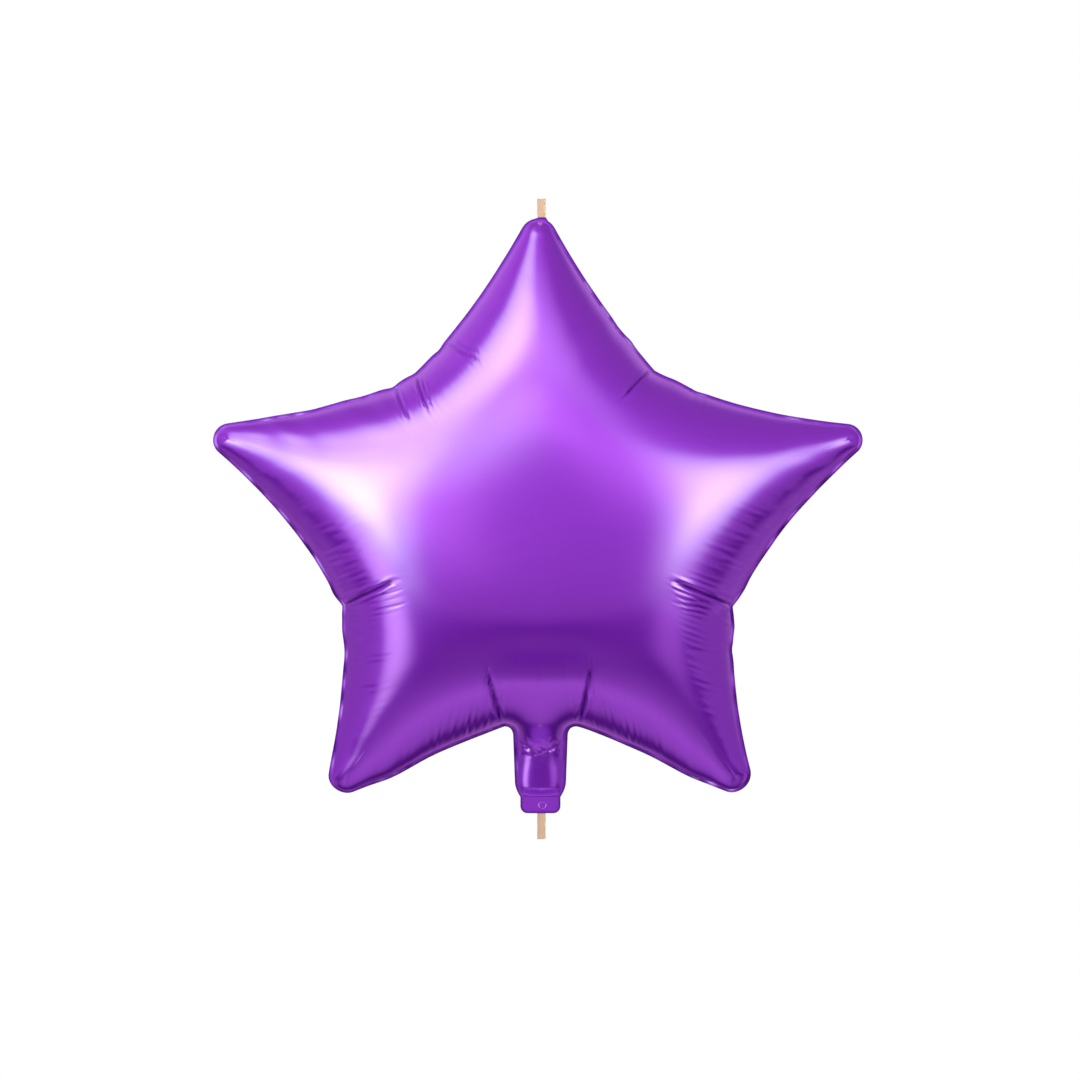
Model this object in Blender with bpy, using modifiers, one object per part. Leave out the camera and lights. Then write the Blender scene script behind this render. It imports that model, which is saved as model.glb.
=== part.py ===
# Star foil balloon: a sealed five-armed foil envelope with a filling tail, hung on a flat ribbon.
#
# All sizes are in metres, +Z is up and the front of the star faces -Y.
# The origin is the middle of the hanging ribbon's top end, the place that the balloon hangs from.
# Star sizes are written from the star's own centre: (right, up) as seen from the front.

import math

import bmesh
import bpy
import numpy as np
from mathutils import Vector
from mathutils.geometry import delaunay_2d_cdt

COLLECTION_NAME = "star_foil_balloon"
CUTTER_COLLECTION_NAME = "star_foil_balloon_cutters"

# Round tips of the five arms, clockwise from the top: centre right, centre up, radius
TIPS = (
    (-0.0002, 0.2061, 0.0130),
    (0.2138, 0.0653, 0.0112),
    (0.1347, -0.1664, 0.0126),
    (-0.1332, -0.1675, 0.0120),
    (-0.2147, 0.0654, 0.0115),
)

# Inner corners between the arms. The lower pair of arms meets the tail instead.
CORNER_TOP_RIGHT = (0.0805, 0.1134)
CORNER_LOW_RIGHT = (0.1359, -0.0508)
CORNER_LOW_LEFT = (-0.1376, -0.0507)
CORNER_TOP_LEFT = (-0.0858, 0.1119)

# Each edge bows in towards the star: the point that pulls it, clockwise from the top tip
BOWS = (
    (0.0390, 0.1616),
    (0.1314, 0.0848),
    (0.1630, 0.0046),
    (0.1319, -0.1042),
    (0.0385, -0.1356),
    (-0.0738, -0.1523),
    (-0.1308, -0.0838),
    (-0.1624, 0.0045),
    (-0.1132, 0.0916),
    (-0.0474, 0.1491),
)

# Scallops that the gathered film presses into the seam: degrees clockwise from the top, half width
# in degrees, and how far the seam moves out (in, where negative)
SCALLOPS = (
    (21.0, 2.0, -0.0005),
    (25.5, 1.5, 0.0007),
    (42.0, 3.0, 0.0009),
    (48.0, 1.5, -0.0006),
    (87.0, 4.0, -0.0006),
    (105.0, 2.5, 0.0007),
    (110.5, 1.6, -0.0012),
    (115.5, 2.0, 0.0010),
    (121.0, 1.5, -0.0010),
    (147.9, 3.5, 0.0036),
    (211.1, 3.5, 0.0048),
    (222.0, 2.5, 0.0014),
    (238.0, 2.5, -0.0007),
    (244.0, 2.5, 0.0009),
    (250.0, 1.6, -0.0012),
    (254.0, 1.8, 0.0007),
    (298.5, 1.8, -0.0009),
    (304.5, 2.0, 0.0005),
    (315.0, 1.6, -0.0013),
    (319.5, 1.8, 0.0005),
    (331.5, 1.6, -0.0009),
)

# Creases that run in from the seam: degrees clockwise from the top where the line meets the seam,
# heading in degrees clockwise from up, start and end measured from the seam, depth, half width
CREASES = (
    (35.4, 228.0, 0.000, 0.032, 0.0030, 0.0060),
    (315.5, 152.0, 0.000, 0.028, 0.0022, 0.0055),
    (322.0, 157.0, 0.000, 0.027, 0.0022, 0.0055),
    (331.5, 112.0, 0.000, 0.033, 0.0022, 0.0060),
    (249.8, 65.0, 0.000, 0.044, 0.0045, 0.0075),
    (247.4, 78.0, 0.026, 0.047, 0.0022, 0.0045),
    (110.5, 293.0, 0.000, 0.047, 0.0045, 0.0075),
    (111.7, 280.0, 0.025, 0.045, 0.0022, 0.0045),
    (190.1, 344.0, 0.000, 0.047, 0.0040, 0.0070),
    (168.9, 12.6, 0.000, 0.046, 0.0040, 0.0070),
    (238.0, 94.0, 0.000, 0.034, 0.0010, 0.0050),
    (121.0, 274.0, 0.000, 0.034, 0.0010, 0.0050),
)

# Filling tail: its mouth lies below the star's centre, and its sides, neck and end pad follow below that
TAIL_SHIFT = 0.0012
TAIL_MOUTH_DROP = 0.1410
TAIL_MOUTH_HALF_WIDTH = 0.0189
TAIL_SIDE_LENGTH = 0.0300
TAIL_LOW_HALF_WIDTH = 0.0178
TAIL_NECK_LENGTH = 0.0115
TAIL_PAD_HALF_WIDTH = 0.0139
TAIL_PAD_HEIGHT = 0.0114
TAIL_PAD_CORNER_RADIUS = 0.0050
TAIL_FILLET_REACH = 0.0061
TAIL_FILLET_RISE = 0.0073
TAIL_FULLNESS = 0.55
TAIL_FOLD_TOP = 0.0030
TAIL_FOLD_DROP = 0.0105
TAIL_FOLD_DEPTH = 0.0022
TAIL_FOLD_HALF_WIDTH = 0.0040

# Shares of a crease's length between which it deepens from the seam, and fades at its inner end
CREASE_RISE = (-0.03, 0.10)
CREASE_FADE = (0.70, 1.05)

# Inflated film and its heat-sealed seam
BULGE = 0.0940
BULGE_ROUNDNESS = 1.5
SEAM_WIDTH = 0.0033
SEAM_HALF_THICKNESS = 0.0004
PAD_BLEND = 0.0060
PAD_WALL = 0.0004
TOP_PAD_BELOW_RIBBON = 0.0025

# Ribbon that hangs the balloon, and the short end of ribbon sealed into the tail
RIBBON_WIDTH = 0.0059
RIBBON_THICKNESS = 0.0006
RIBBON_ABOVE_TAB = 0.0130
RIBBON_BELOW_TAIL = 0.0180
RIBBON_SEALED_LENGTH = 0.0075
RIBBON_RIGHT_OF_STAR = 0.0019
RIBBON_CLEARANCE = 0.0003
TAB_SIDE_WALL = 0.0006
TAB_HEIGHT = 0.0007

# Fineness of the mesh
EDGE_SEGMENTS = 22
TIP_SEGMENTS = 6
CORNER_SEGMENTS = 3
MERGE_DISTANCE = 0.00005

# Loops of points inside the seam: how far in, and which of the seam's points each follows (every one, or
# every second one)
INSETS = (0.0010, 0.0032, 0.0070, 0.0125)
INSET_EVERY_COUNT = (1, 1, 2, 2)
INSET_SHARE_KEPT = 0.95

# Triangular lattice of points on the rest of the film, and how near another point it may come
LATTICE_SPACING = 0.0105
LATTICE_SHARE_CLEAR = 0.62

# Points along a crease, and rows beside it as shares of its half width
CREASE_STATIONS = 7
CREASE_FIRST_STATION = 0.06
CREASE_ROWS = (-1.0, -0.45, 0.45, 1.0)
CREASE_CLEARANCE = 0.0022

# Places that follow from the sizes
TOP_OF_STAR = TIPS[0][1] + TIPS[0][2]
TOP_OF_TAB = TOP_OF_STAR + TAB_HEIGHT
TAIL_LOW_DROP = TAIL_MOUTH_DROP + TAIL_SIDE_LENGTH
TAIL_PAD_DROP = TAIL_LOW_DROP + TAIL_NECK_LENGTH
TAIL_END_DROP = TAIL_PAD_DROP + TAIL_PAD_HEIGHT
STAR_CENTRE = Vector((-RIBBON_RIGHT_OF_STAR, 0.0, -RIBBON_ABOVE_TAB - TOP_OF_TAB))
TAB_HALF_WIDTH = RIBBON_WIDTH / 2 + RIBBON_CLEARANCE + TAB_SIDE_WALL
PAD_HALF_THICKNESS = RIBBON_THICKNESS / 2 + RIBBON_CLEARANCE + PAD_WALL
TOP_PAD_BOTTOM = TOP_OF_TAB - RIBBON_SEALED_LENGTH - TOP_PAD_BELOW_RIBBON


def smooth_step(values, low, high):
    """0 below low, 1 above high, and an even S-shaped rise between them."""
    share = np.clip((np.asarray(values, float) - low) / (high - low), 0.0, 1.0)
    return share * share * (3.0 - 2.0 * share)


def bowed_edge(start, bow, end, segments):
    """Points of a quadratic curve from start to end, pulled towards bow; the last point is left out."""
    share = (np.arange(segments) / segments)[:, None]
    return (1 - share) ** 2 * start + 2 * share * (1 - share) * bow + share ** 2 * end


def tangent_point(bow, tip, side):
    """Where the line from bow touches the tip's circle, on its left (-1) or right (+1) side."""
    centre = np.array(tip[:2])
    towards = centre - bow
    distance = math.hypot(*towards)
    angle = math.atan2(towards[1], towards[0]) + side * math.asin(tip[2] / distance)
    reach = math.sqrt(distance ** 2 - tip[2] ** 2)
    return bow + reach * np.array([math.cos(angle), math.sin(angle)])


def clockwise_arc(centre, radius, start, end, segments):
    """Points on a circle from start, clockwise, to end; the last point is left out."""
    first = math.atan2(start[1] - centre[1], start[0] - centre[0])
    last = math.atan2(end[1] - centre[1], end[0] - centre[0])
    if last > first:
        last -= 2 * math.pi
    angles = first + (last - first) * np.arange(segments) / segments
    return np.column_stack([centre[0] + radius * np.cos(angles), centre[1] + radius * np.sin(angles)])


def tab_outline():
    """The small square tab on the top tip that the ribbon leaves through, from left to right."""
    tip_across, tip_up, tip_radius = TIPS[0]
    left = RIBBON_RIGHT_OF_STAR - TAB_HALF_WIDTH
    right = RIBBON_RIGHT_OF_STAR + TAB_HALF_WIDTH
    left_foot = tip_up + math.sqrt(tip_radius ** 2 - (left - tip_across) ** 2)
    right_foot = tip_up + math.sqrt(tip_radius ** 2 - (right - tip_across) ** 2)
    return np.array([(left, left_foot), (left, TOP_OF_TAB), (right, TOP_OF_TAB), (right, right_foot)])


def tail_outline():
    """The tail from the right-hand fillet, round its flat end pad, to the left-hand fillet."""
    fillet_half_width = TAIL_MOUTH_HALF_WIDTH + TAIL_FILLET_REACH
    fillet_drop = TAIL_MOUTH_DROP - TAIL_FILLET_RISE
    corner_centre = np.array([TAIL_PAD_HALF_WIDTH - TAIL_PAD_CORNER_RADIUS,
                              -TAIL_END_DROP + TAIL_PAD_CORNER_RADIUS])
    side = corner_centre + (TAIL_PAD_CORNER_RADIUS, 0.0)
    base = corner_centre - (0.0, TAIL_PAD_CORNER_RADIUS)
    mouth = np.array([TAIL_MOUTH_HALF_WIDTH, -TAIL_MOUTH_DROP])
    low = np.array([TAIL_LOW_HALF_WIDTH, -TAIL_LOW_DROP])
    pad = np.array([TAIL_PAD_HALF_WIDTH, -TAIL_PAD_DROP])
    fillet_bow = np.array([TAIL_MOUTH_HALF_WIDTH, -fillet_drop])
    pad_bow = np.array([TAIL_LOW_HALF_WIDTH, (low[1] + pad[1]) / 2])
    right = np.vstack([
        bowed_edge(np.array([fillet_half_width, -fillet_drop]), fillet_bow, mouth, CORNER_SEGMENTS),
        bowed_edge(mouth, (mouth + low) / 2, low, 2 * CORNER_SEGMENTS),
        bowed_edge(low, pad_bow, pad, CORNER_SEGMENTS),
        pad[None],
        clockwise_arc(corner_centre, TAIL_PAD_CORNER_RADIUS, side, base, CORNER_SEGMENTS),
        base[None],
    ])
    left = right[::-1] * (-1, 1)
    return np.vstack([right, left]) + (TAIL_SHIFT, 0.0)


def star_outline():
    """The whole seam as one closed clockwise loop of points, with the scallops pressed into it."""
    tail = tail_outline()
    corners = (
        (CORNER_TOP_RIGHT, CORNER_TOP_RIGHT),
        (CORNER_LOW_RIGHT, CORNER_LOW_RIGHT),
        (tail[0], tail[-1]),
        (CORNER_LOW_LEFT, CORNER_LOW_LEFT),
        (CORNER_TOP_LEFT, CORNER_TOP_LEFT),
    )
    loop = []
    for arm, tip in enumerate(TIPS):
        before = np.array(BOWS[2 * arm - 1])
        after = np.array(BOWS[2 * arm])
        start = tangent_point(before, tip, 1)
        end = tangent_point(after, tip, -1)
        if arm == 0:
            tab = tab_outline()
            loop.append(clockwise_arc(tip[:2], tip[2], start, tab[0], CORNER_SEGMENTS))
            loop.append(tab[:3])
            loop.append(clockwise_arc(tip[:2], tip[2], tab[3], end, CORNER_SEGMENTS))
        else:
            loop.append(clockwise_arc(tip[:2], tip[2], start, end, TIP_SEGMENTS))
        into_corner, out_of_corner = corners[arm]
        next_tip = TIPS[(arm + 1) % 5]
        next_bow = np.array(BOWS[2 * arm + 1])
        loop.append(bowed_edge(end, after, np.array(into_corner), EDGE_SEGMENTS))
        if arm == 2:
            loop.append(tail[:-1])
        loop.append(bowed_edge(np.array(out_of_corner), next_bow, tangent_point(next_bow, next_tip, 1),
                               EDGE_SEGMENTS))
    points = np.vstack(loop)
    return points + scallop_shift(points)


def scallop_shift(points):
    """How far the scallops move each point of the seam, straight out from the star's centre."""
    bearing = np.degrees(np.arctan2(points[:, 0], points[:, 1])) % 360.0
    shift = np.zeros(len(points))
    for place, half_width, amount in SCALLOPS:
        shift += amount * np.exp(-((bearing - place) / half_width) ** 2)
    reach = np.hypot(points[:, 0], points[:, 1])
    return points / reach[:, None] * shift[:, None]


def inset_loop(points, width):
    """The loop moved inwards by width, square to the seam."""
    along = np.roll(points, -1, axis=0) - np.roll(points, 1, axis=0)
    along /= np.hypot(along[:, 0], along[:, 1])[:, None]
    inward = np.column_stack([along[:, 1], -along[:, 0]])
    return points + width * inward


def seam_point(outline, bearing):
    """The point of the seam that lies at a bearing, in degrees clockwise from the top."""
    bearings = np.degrees(np.arctan2(outline[:, 0], outline[:, 1]))
    nearest = np.argmin(np.abs((bearings - bearing + 180.0) % 360.0 - 180.0))
    return outline[nearest]


def crease_lines(outline):
    """Each crease as start point, end point, depth and half width, with the tail's V-shaped fold."""
    lines = []
    for bearing, heading, begin, finish, depth, half_width in CREASES:
        foot = seam_point(outline, bearing)
        turn = math.radians(heading)
        direction = np.array([math.sin(turn), math.cos(turn)])
        lines.append((foot + begin * direction, foot + finish * direction, depth, half_width))
    valley = np.array([TAIL_SHIFT, -TAIL_MOUTH_DROP - TAIL_FOLD_TOP - TAIL_FOLD_DROP])
    for side in (-1, 1):
        shoulder = np.array([TAIL_SHIFT + side * TAIL_MOUTH_HALF_WIDTH, -TAIL_MOUTH_DROP - TAIL_FOLD_TOP])
        lines.append((shoulder, valley, TAIL_FOLD_DEPTH, TAIL_FOLD_HALF_WIDTH))
    return lines


def along_and_across(points, start, end):
    """Each point's share of the way along a line, and its distance from the line."""
    direction = end - start
    length = math.hypot(*direction)
    direction = direction / length
    offset = points - start
    share = (offset @ direction) / length
    return share, np.abs(offset @ np.array([direction[1], -direction[0]]))


def crease_depth(points, lines):
    """Depth of the creases at each point: a sharp valley that starts at the seam and fades out inwards."""
    depth_here = np.zeros(len(points))
    for start, end, depth, half_width in lines:
        share, across = along_and_across(points, start, end)
        valley = np.clip(1.0 - across / half_width, 0.0, 1.0) ** 2
        ends = smooth_step(share, *CREASE_RISE) * (1.0 - smooth_step(share, *CREASE_FADE))
        depth_here = np.maximum(depth_here, depth * ends * valley)
    return depth_here


def clear_of(points, others, distance):
    """The points that lie further than distance from each of the others."""
    gaps = np.hypot(points[:, None, 0] - others[None, :, 0], points[:, None, 1] - others[None, :, 1])
    return points[gaps.min(axis=1) > distance]


def crease_points(lines, first):
    """Points along and beside each crease, and the links that keep a crease's own line an edge."""
    points = []
    links = []
    for start, end, _, half_width in lines:
        direction = (end - start) / math.hypot(*(end - start))
        square = np.array([direction[1], -direction[0]])
        share = np.linspace(CREASE_FIRST_STATION, 1.0, CREASE_STATIONS)[:, None]
        middle = start + share * (end - start)
        begin = first + len(points)
        links += [(begin + step, begin + step + 1) for step in range(CREASE_STATIONS - 1)]
        points += list(middle)
        for row in CREASE_ROWS:
            points += list(middle[1:] + row * half_width * square)
    return np.array(points), links


def film_points(inner, creases):
    """Points of the inflated film: loops that follow the seam, and a triangular lattice inside them."""
    seam_loops = []
    for inset, every in zip(INSETS, INSET_EVERY_COUNT):
        loop = inset_loop(inner, inset)[::every]
        seam_loops.append(clear_of(loop, inner, INSET_SHARE_KEPT * inset))
    kept = np.vstack(seam_loops)
    kept = clear_of(kept, creases, CREASE_CLEARANCE)
    reach = np.abs(inner).max() + LATTICE_SPACING
    rows = np.arange(-reach, reach, LATTICE_SPACING * math.sqrt(3) / 2)
    columns = np.arange(-reach, reach, LATTICE_SPACING)
    across, up = np.meshgrid(columns, rows)
    across = across + (np.arange(len(rows)) % 2)[:, None] * LATTICE_SPACING / 2
    lattice = np.column_stack([across.ravel(), up.ravel()])
    lattice = lattice[is_inside(lattice, inner)]
    others = np.vstack([kept, creases, inner])
    lattice = clear_of(lattice, others, LATTICE_SHARE_CLEAR * LATTICE_SPACING)
    return np.vstack([kept, lattice])


def is_inside(points, loop):
    """Whether each point lies inside the closed loop: an odd number of its edges lie to the right."""
    inside = np.zeros(len(points), bool)
    for first, second in zip(loop, np.roll(loop, -1, axis=0)):
        spans = (first[1] > points[:, 1]) != (second[1] > points[:, 1])
        rise = second[1] - first[1] if second[1] != first[1] else 1.0
        crossing = first[0] + (points[:, 1] - first[1]) * (second[0] - first[0]) / rise
        inside ^= spans & (points[:, 0] < crossing)
    return inside


def flat_pattern():
    """The front sheet as a flat triangle mesh: its points, its triangles, and which points are film."""
    outline = star_outline()
    inner = inset_loop(outline, SEAM_WIDTH)
    lines = crease_lines(outline)
    count = len(outline)
    creases, links = crease_points(lines, 2 * count)
    points = np.vstack([outline, inner, creases, film_points(inner, creases)])
    loops = [(start + step, start + (step + 1) % count) for start in (0, count) for step in range(count)]
    result = delaunay_2d_cdt([Vector(point) for point in points], loops + links, [], 1, MERGE_DISTANCE)
    flat = np.array([vertex[:] for vertex in result[0]])
    triangles = np.array([face for face in result[2]])
    is_seam = np.zeros(len(flat), bool)
    for index, sources in enumerate(result[3]):
        is_seam[index] = any(source < 2 * count for source in sources)
    return flat, triangles, ~is_seam, lines


def membrane(flat, triangles, is_film):
    """Height of a stretched skin over the flat pattern under even pressure, held at the seam.

    Linear triangles: each adds its slopes' products to the matrix and a third of its area to the load."""
    corners = flat[triangles]
    spans = np.roll(corners, -1, axis=1) - np.roll(corners, 1, axis=1)
    area = 0.5 * (spans[:, 0, 0] * spans[:, 1, 1] - spans[:, 0, 1] * spans[:, 1, 0])
    stiffness = np.zeros((len(flat), len(flat)))
    load = np.zeros(len(flat))
    for row in range(3):
        np.add.at(load, triangles[:, row], 2.0 * np.abs(area) / 3.0)
        for column in range(3):
            product = (spans[:, row] * spans[:, column]).sum(axis=1) / (4.0 * np.abs(area))
            np.add.at(stiffness, (triangles[:, row], triangles[:, column]), product)
    height = np.zeros(len(flat))
    film = np.nonzero(is_film)[0]
    height[film] = np.linalg.solve(stiffness[np.ix_(film, film)], load[film])
    return height


def half_thickness(flat, triangles, is_film):
    """Half the balloon's thickness at each point: the seam and the inflated film.

    The film stands BULGE * sqrt(1 - (1 - w / top) ** BULGE_ROUNDNESS) proud of the seam, where w is the
    membrane's height: a round tube along an arm, and a flatter dome in the middle of the star."""
    skin = membrane(flat, triangles, is_film)
    share = np.clip(skin / skin.max(), 0.0, 1.0)
    film = BULGE * np.sqrt(1.0 - (1.0 - share) ** BULGE_ROUNDNESS)
    drop = -flat[:, 1]
    in_tail = np.abs(flat[:, 0] - TAIL_SHIFT) < TAIL_MOUTH_HALF_WIDTH + TAIL_FILLET_REACH
    narrowing = smooth_step(drop, TAIL_MOUTH_DROP - PAD_BLEND, TAIL_MOUTH_DROP + PAD_BLEND) * in_tail
    sealing = smooth_step(drop, TAIL_PAD_DROP - PAD_BLEND, TAIL_PAD_DROP) * in_tail
    film *= (1.0 - (1.0 - TAIL_FULLNESS) * narrowing) * (1.0 - sealing)
    top_pad = smooth_step(flat[:, 1], TOP_PAD_BOTTOM - PAD_BLEND, TOP_PAD_BOTTOM)
    pads = np.maximum(sealing, top_pad)
    seam = SEAM_HALF_THICKNESS + (PAD_HALF_THICKNESS - SEAM_HALF_THICKNESS) * pads
    return seam + film


def new_object(name, mesh, material, collection):
    """An object for the mesh, with its material, linked into the collection."""
    piece = bpy.data.objects.new(name, mesh)
    if material:
        mesh.materials.append(material)
    collection.objects.link(piece)
    return piece


def make_balloon(material, collection):
    """The sealed envelope: the front sheet with half of its seam, mirrored to make the back."""
    flat, triangles, is_film, lines = flat_pattern()
    thickness = half_thickness(flat, triangles, is_film)
    depths = crease_depth(flat, lines) * is_film
    sheet = bmesh.new()
    vertices = [sheet.verts.new((point[0], -depth, point[1])) for point, depth in zip(flat, thickness)]
    for triangle in triangles:
        sheet.faces.new([vertices[index] for index in triangle])
    sheet.normal_update()
    moves = [vertex.normal * -depth for vertex, depth in zip(vertices, depths.tolist())]
    for vertex, move in zip(vertices, moves):
        vertex.co += move
    rim = [edge for edge in sheet.edges if edge.is_boundary]
    extruded = bmesh.ops.extrude_edge_only(sheet, edges=rim)
    for item in extruded["geom"]:
        if isinstance(item, bmesh.types.BMVert):
            item.co.y = 0.0
    bmesh.ops.recalc_face_normals(sheet, faces=sheet.faces)
    mesh = bpy.data.meshes.new("balloon")
    sheet.to_mesh(mesh)
    sheet.free()
    mesh.shade_smooth()
    balloon = new_object("balloon", mesh, material, collection)
    balloon.location = STAR_CENTRE
    mirror = balloon.modifiers.new("back sheet", "MIRROR")
    mirror.use_axis = (False, True, False)
    mirror.merge_threshold = MERGE_DISTANCE
    return balloon


def make_box(name, size, centre, material, collection):
    """A block of the given size about a centre."""
    block = bmesh.new()
    bmesh.ops.create_cube(block, size=1.0)
    bmesh.ops.scale(block, vec=Vector(size), verts=block.verts)
    mesh = bpy.data.meshes.new(name)
    block.to_mesh(mesh)
    block.free()
    piece = new_object(name, mesh, material, collection)
    piece.location = centre
    return piece


def make_ribbon(name, top, bottom, material, collection):
    """A flat length of ribbon from top to bottom, on the hanging line."""
    size = (RIBBON_WIDTH, RIBBON_THICKNESS, top - bottom)
    return make_box(name, size, (0.0, 0.0, (top + bottom) / 2), material, collection)


def cut_pocket(balloon, name, ribbon_end, mouth, collection):
    """A pocket between the two sheets for a sealed ribbon end, open at the seam's outer edge."""
    inward = 1.0 if ribbon_end > mouth else -1.0
    bottom = ribbon_end + inward * RIBBON_CLEARANCE
    beyond = mouth - inward * RIBBON_SEALED_LENGTH
    width = RIBBON_WIDTH + 2 * RIBBON_CLEARANCE
    thickness = RIBBON_THICKNESS + 2 * RIBBON_CLEARANCE
    size = (width, thickness, abs(bottom - beyond))
    cutter = make_box(name, size, (0.0, 0.0, (bottom + beyond) / 2), None, collection)
    cutter.hide_render = True
    cutter.display_type = "WIRE"
    cut = balloon.modifiers.new(name, "BOOLEAN")
    cut.operation = "DIFFERENCE"
    cut.solver = "EXACT"
    cut.object = cutter


def make_material(name, colour, metallic, roughness):
    """A Principled material with one colour."""
    material = bpy.data.materials.new(name)
    material.use_nodes = True
    shader = material.node_tree.nodes["Principled BSDF"]
    shader.inputs["Base Color"].default_value = (*colour, 1.0)
    shader.inputs["Metallic"].default_value = metallic
    shader.inputs["Roughness"].default_value = roughness
    material.diffuse_color = (*colour, 1.0)
    return material


def make_collection(name):
    """A new collection in the scene."""
    collection = bpy.data.collections.new(name)
    bpy.context.scene.collection.children.link(collection)
    return collection


def main():
    for item in list(bpy.data.objects):
        bpy.data.objects.remove(item, do_unlink=True)
    parts = make_collection(COLLECTION_NAME)
    cutters = make_collection(CUTTER_COLLECTION_NAME)
    foil = make_material("violet_foil", (0.42, 0.10, 0.80), 0.9, 0.28)
    ribbon = make_material("tan_ribbon", (0.74, 0.52, 0.34), 0.0, 0.45)

    top_of_tab = STAR_CENTRE.z + TOP_OF_TAB
    tail_end = STAR_CENTRE.z - TAIL_END_DROP
    balloon = make_balloon(foil, parts)
    top_sealed_end = top_of_tab - RIBBON_SEALED_LENGTH
    tail_sealed_end = tail_end + RIBBON_SEALED_LENGTH
    cut_pocket(balloon, "top_pocket", top_sealed_end, top_of_tab, cutters)
    cut_pocket(balloon, "tail_pocket", tail_sealed_end, tail_end, cutters)
    make_ribbon("hanging_ribbon", top_of_tab + RIBBON_ABOVE_TAB, top_sealed_end, ribbon, parts)
    make_ribbon("tail_ribbon", tail_sealed_end, tail_end - RIBBON_BELOW_TAIL, ribbon, parts)


main()
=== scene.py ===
# Star foil balloon: the looks of a sealed five-armed foil envelope hung on a flat ribbon.
#
# All sizes are in metres, +Z is up and the front of the star faces -Y.
# Star sizes are written from the star's own centre: (right, up) as seen from the front.

import math

import bpy
import numpy as np
from bpy.props import FloatProperty, FloatVectorProperty, PointerProperty
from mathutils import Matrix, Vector


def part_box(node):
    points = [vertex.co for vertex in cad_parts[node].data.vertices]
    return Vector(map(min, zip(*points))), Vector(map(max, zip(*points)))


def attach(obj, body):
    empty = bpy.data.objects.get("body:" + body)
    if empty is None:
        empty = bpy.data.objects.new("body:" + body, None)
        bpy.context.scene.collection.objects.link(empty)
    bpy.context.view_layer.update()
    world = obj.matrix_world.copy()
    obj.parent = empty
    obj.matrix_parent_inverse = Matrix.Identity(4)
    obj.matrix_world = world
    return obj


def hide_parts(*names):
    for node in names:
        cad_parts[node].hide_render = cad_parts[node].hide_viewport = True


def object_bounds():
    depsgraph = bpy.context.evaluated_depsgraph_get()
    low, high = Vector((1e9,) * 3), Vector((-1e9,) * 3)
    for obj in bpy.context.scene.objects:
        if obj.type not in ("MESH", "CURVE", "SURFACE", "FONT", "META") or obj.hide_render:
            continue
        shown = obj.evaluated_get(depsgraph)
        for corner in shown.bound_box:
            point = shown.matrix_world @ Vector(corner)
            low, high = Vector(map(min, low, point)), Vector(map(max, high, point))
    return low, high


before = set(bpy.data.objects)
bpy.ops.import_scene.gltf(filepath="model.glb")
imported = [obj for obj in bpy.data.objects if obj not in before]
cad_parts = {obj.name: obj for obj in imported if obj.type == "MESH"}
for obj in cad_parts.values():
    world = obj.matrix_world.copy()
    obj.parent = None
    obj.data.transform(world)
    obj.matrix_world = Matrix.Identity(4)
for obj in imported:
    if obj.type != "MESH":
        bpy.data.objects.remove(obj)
CAD_LOW, CAD_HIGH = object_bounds()
BALLOON_LOW, BALLOON_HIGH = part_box("balloon")
HANGING_LOW, HANGING_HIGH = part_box("hanging_ribbon")
TAIL_RIBBON_LOW, TAIL_RIBBON_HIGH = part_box("tail_ribbon")

bl_info = {
    "name": "Star Foil Balloon",
    "version": (1, 0, 0),
    "blender": (4, 5, 0),
    "location": "3D View > Sidebar > Foil Star",
    "description": "Makes an inflated star of metallised film with its ribbon ends, and a plain studio",
    "category": "Add Mesh",
}

# Round tips of the five arms, clockwise from the top: centre right, centre up, radius
TIPS = (
    (-0.0002, 0.2061, 0.0130),
    (0.2138, 0.0653, 0.0112),
    (0.1347, -0.1664, 0.0126),
    (-0.1332, -0.1675, 0.0120),
    (-0.2147, 0.0654, 0.0115),
)

# Inner corners between the arms. The lower pair of arms meets the tail instead.
CORNER_TOP_RIGHT = (0.0805, 0.1134)
CORNER_LOW_RIGHT = (0.1359, -0.0508)
CORNER_LOW_LEFT = (-0.1376, -0.0507)
CORNER_TOP_LEFT = (-0.0858, 0.1119)

# Each edge bows in towards the star: the point that pulls it, clockwise from the top tip
BOWS = (
    (0.0390, 0.1616),
    (0.1314, 0.0848),
    (0.1630, 0.0046),
    (0.1319, -0.1042),
    (0.0385, -0.1356),
    (-0.0738, -0.1523),
    (-0.1308, -0.0838),
    (-0.1624, 0.0045),
    (-0.1132, 0.0916),
    (-0.0474, 0.1491),
)

# Scallops that the gathered film presses into the seam: degrees clockwise from the top, half width
# in degrees, and how far the seam moves out (in, where negative)
SCALLOPS = (
    (21.0, 2.0, -0.0005),
    (25.5, 1.5, 0.0007),
    (42.0, 3.0, 0.0009),
    (48.0, 1.5, -0.0006),
    (87.0, 4.0, -0.0006),
    (105.0, 2.5, 0.0007),
    (110.5, 1.6, -0.0012),
    (115.5, 2.0, 0.0010),
    (121.0, 1.5, -0.0010),
    (147.9, 3.5, 0.0036),
    (211.1, 3.5, 0.0048),
    (222.0, 2.5, 0.0014),
    (238.0, 2.5, -0.0007),
    (244.0, 2.5, 0.0009),
    (250.0, 1.6, -0.0012),
    (254.0, 1.8, 0.0007),
    (298.5, 1.8, -0.0009),
    (304.5, 2.0, 0.0005),
    (315.0, 1.6, -0.0013),
    (319.5, 1.8, 0.0005),
    (331.5, 1.6, -0.0009),
)

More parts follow.
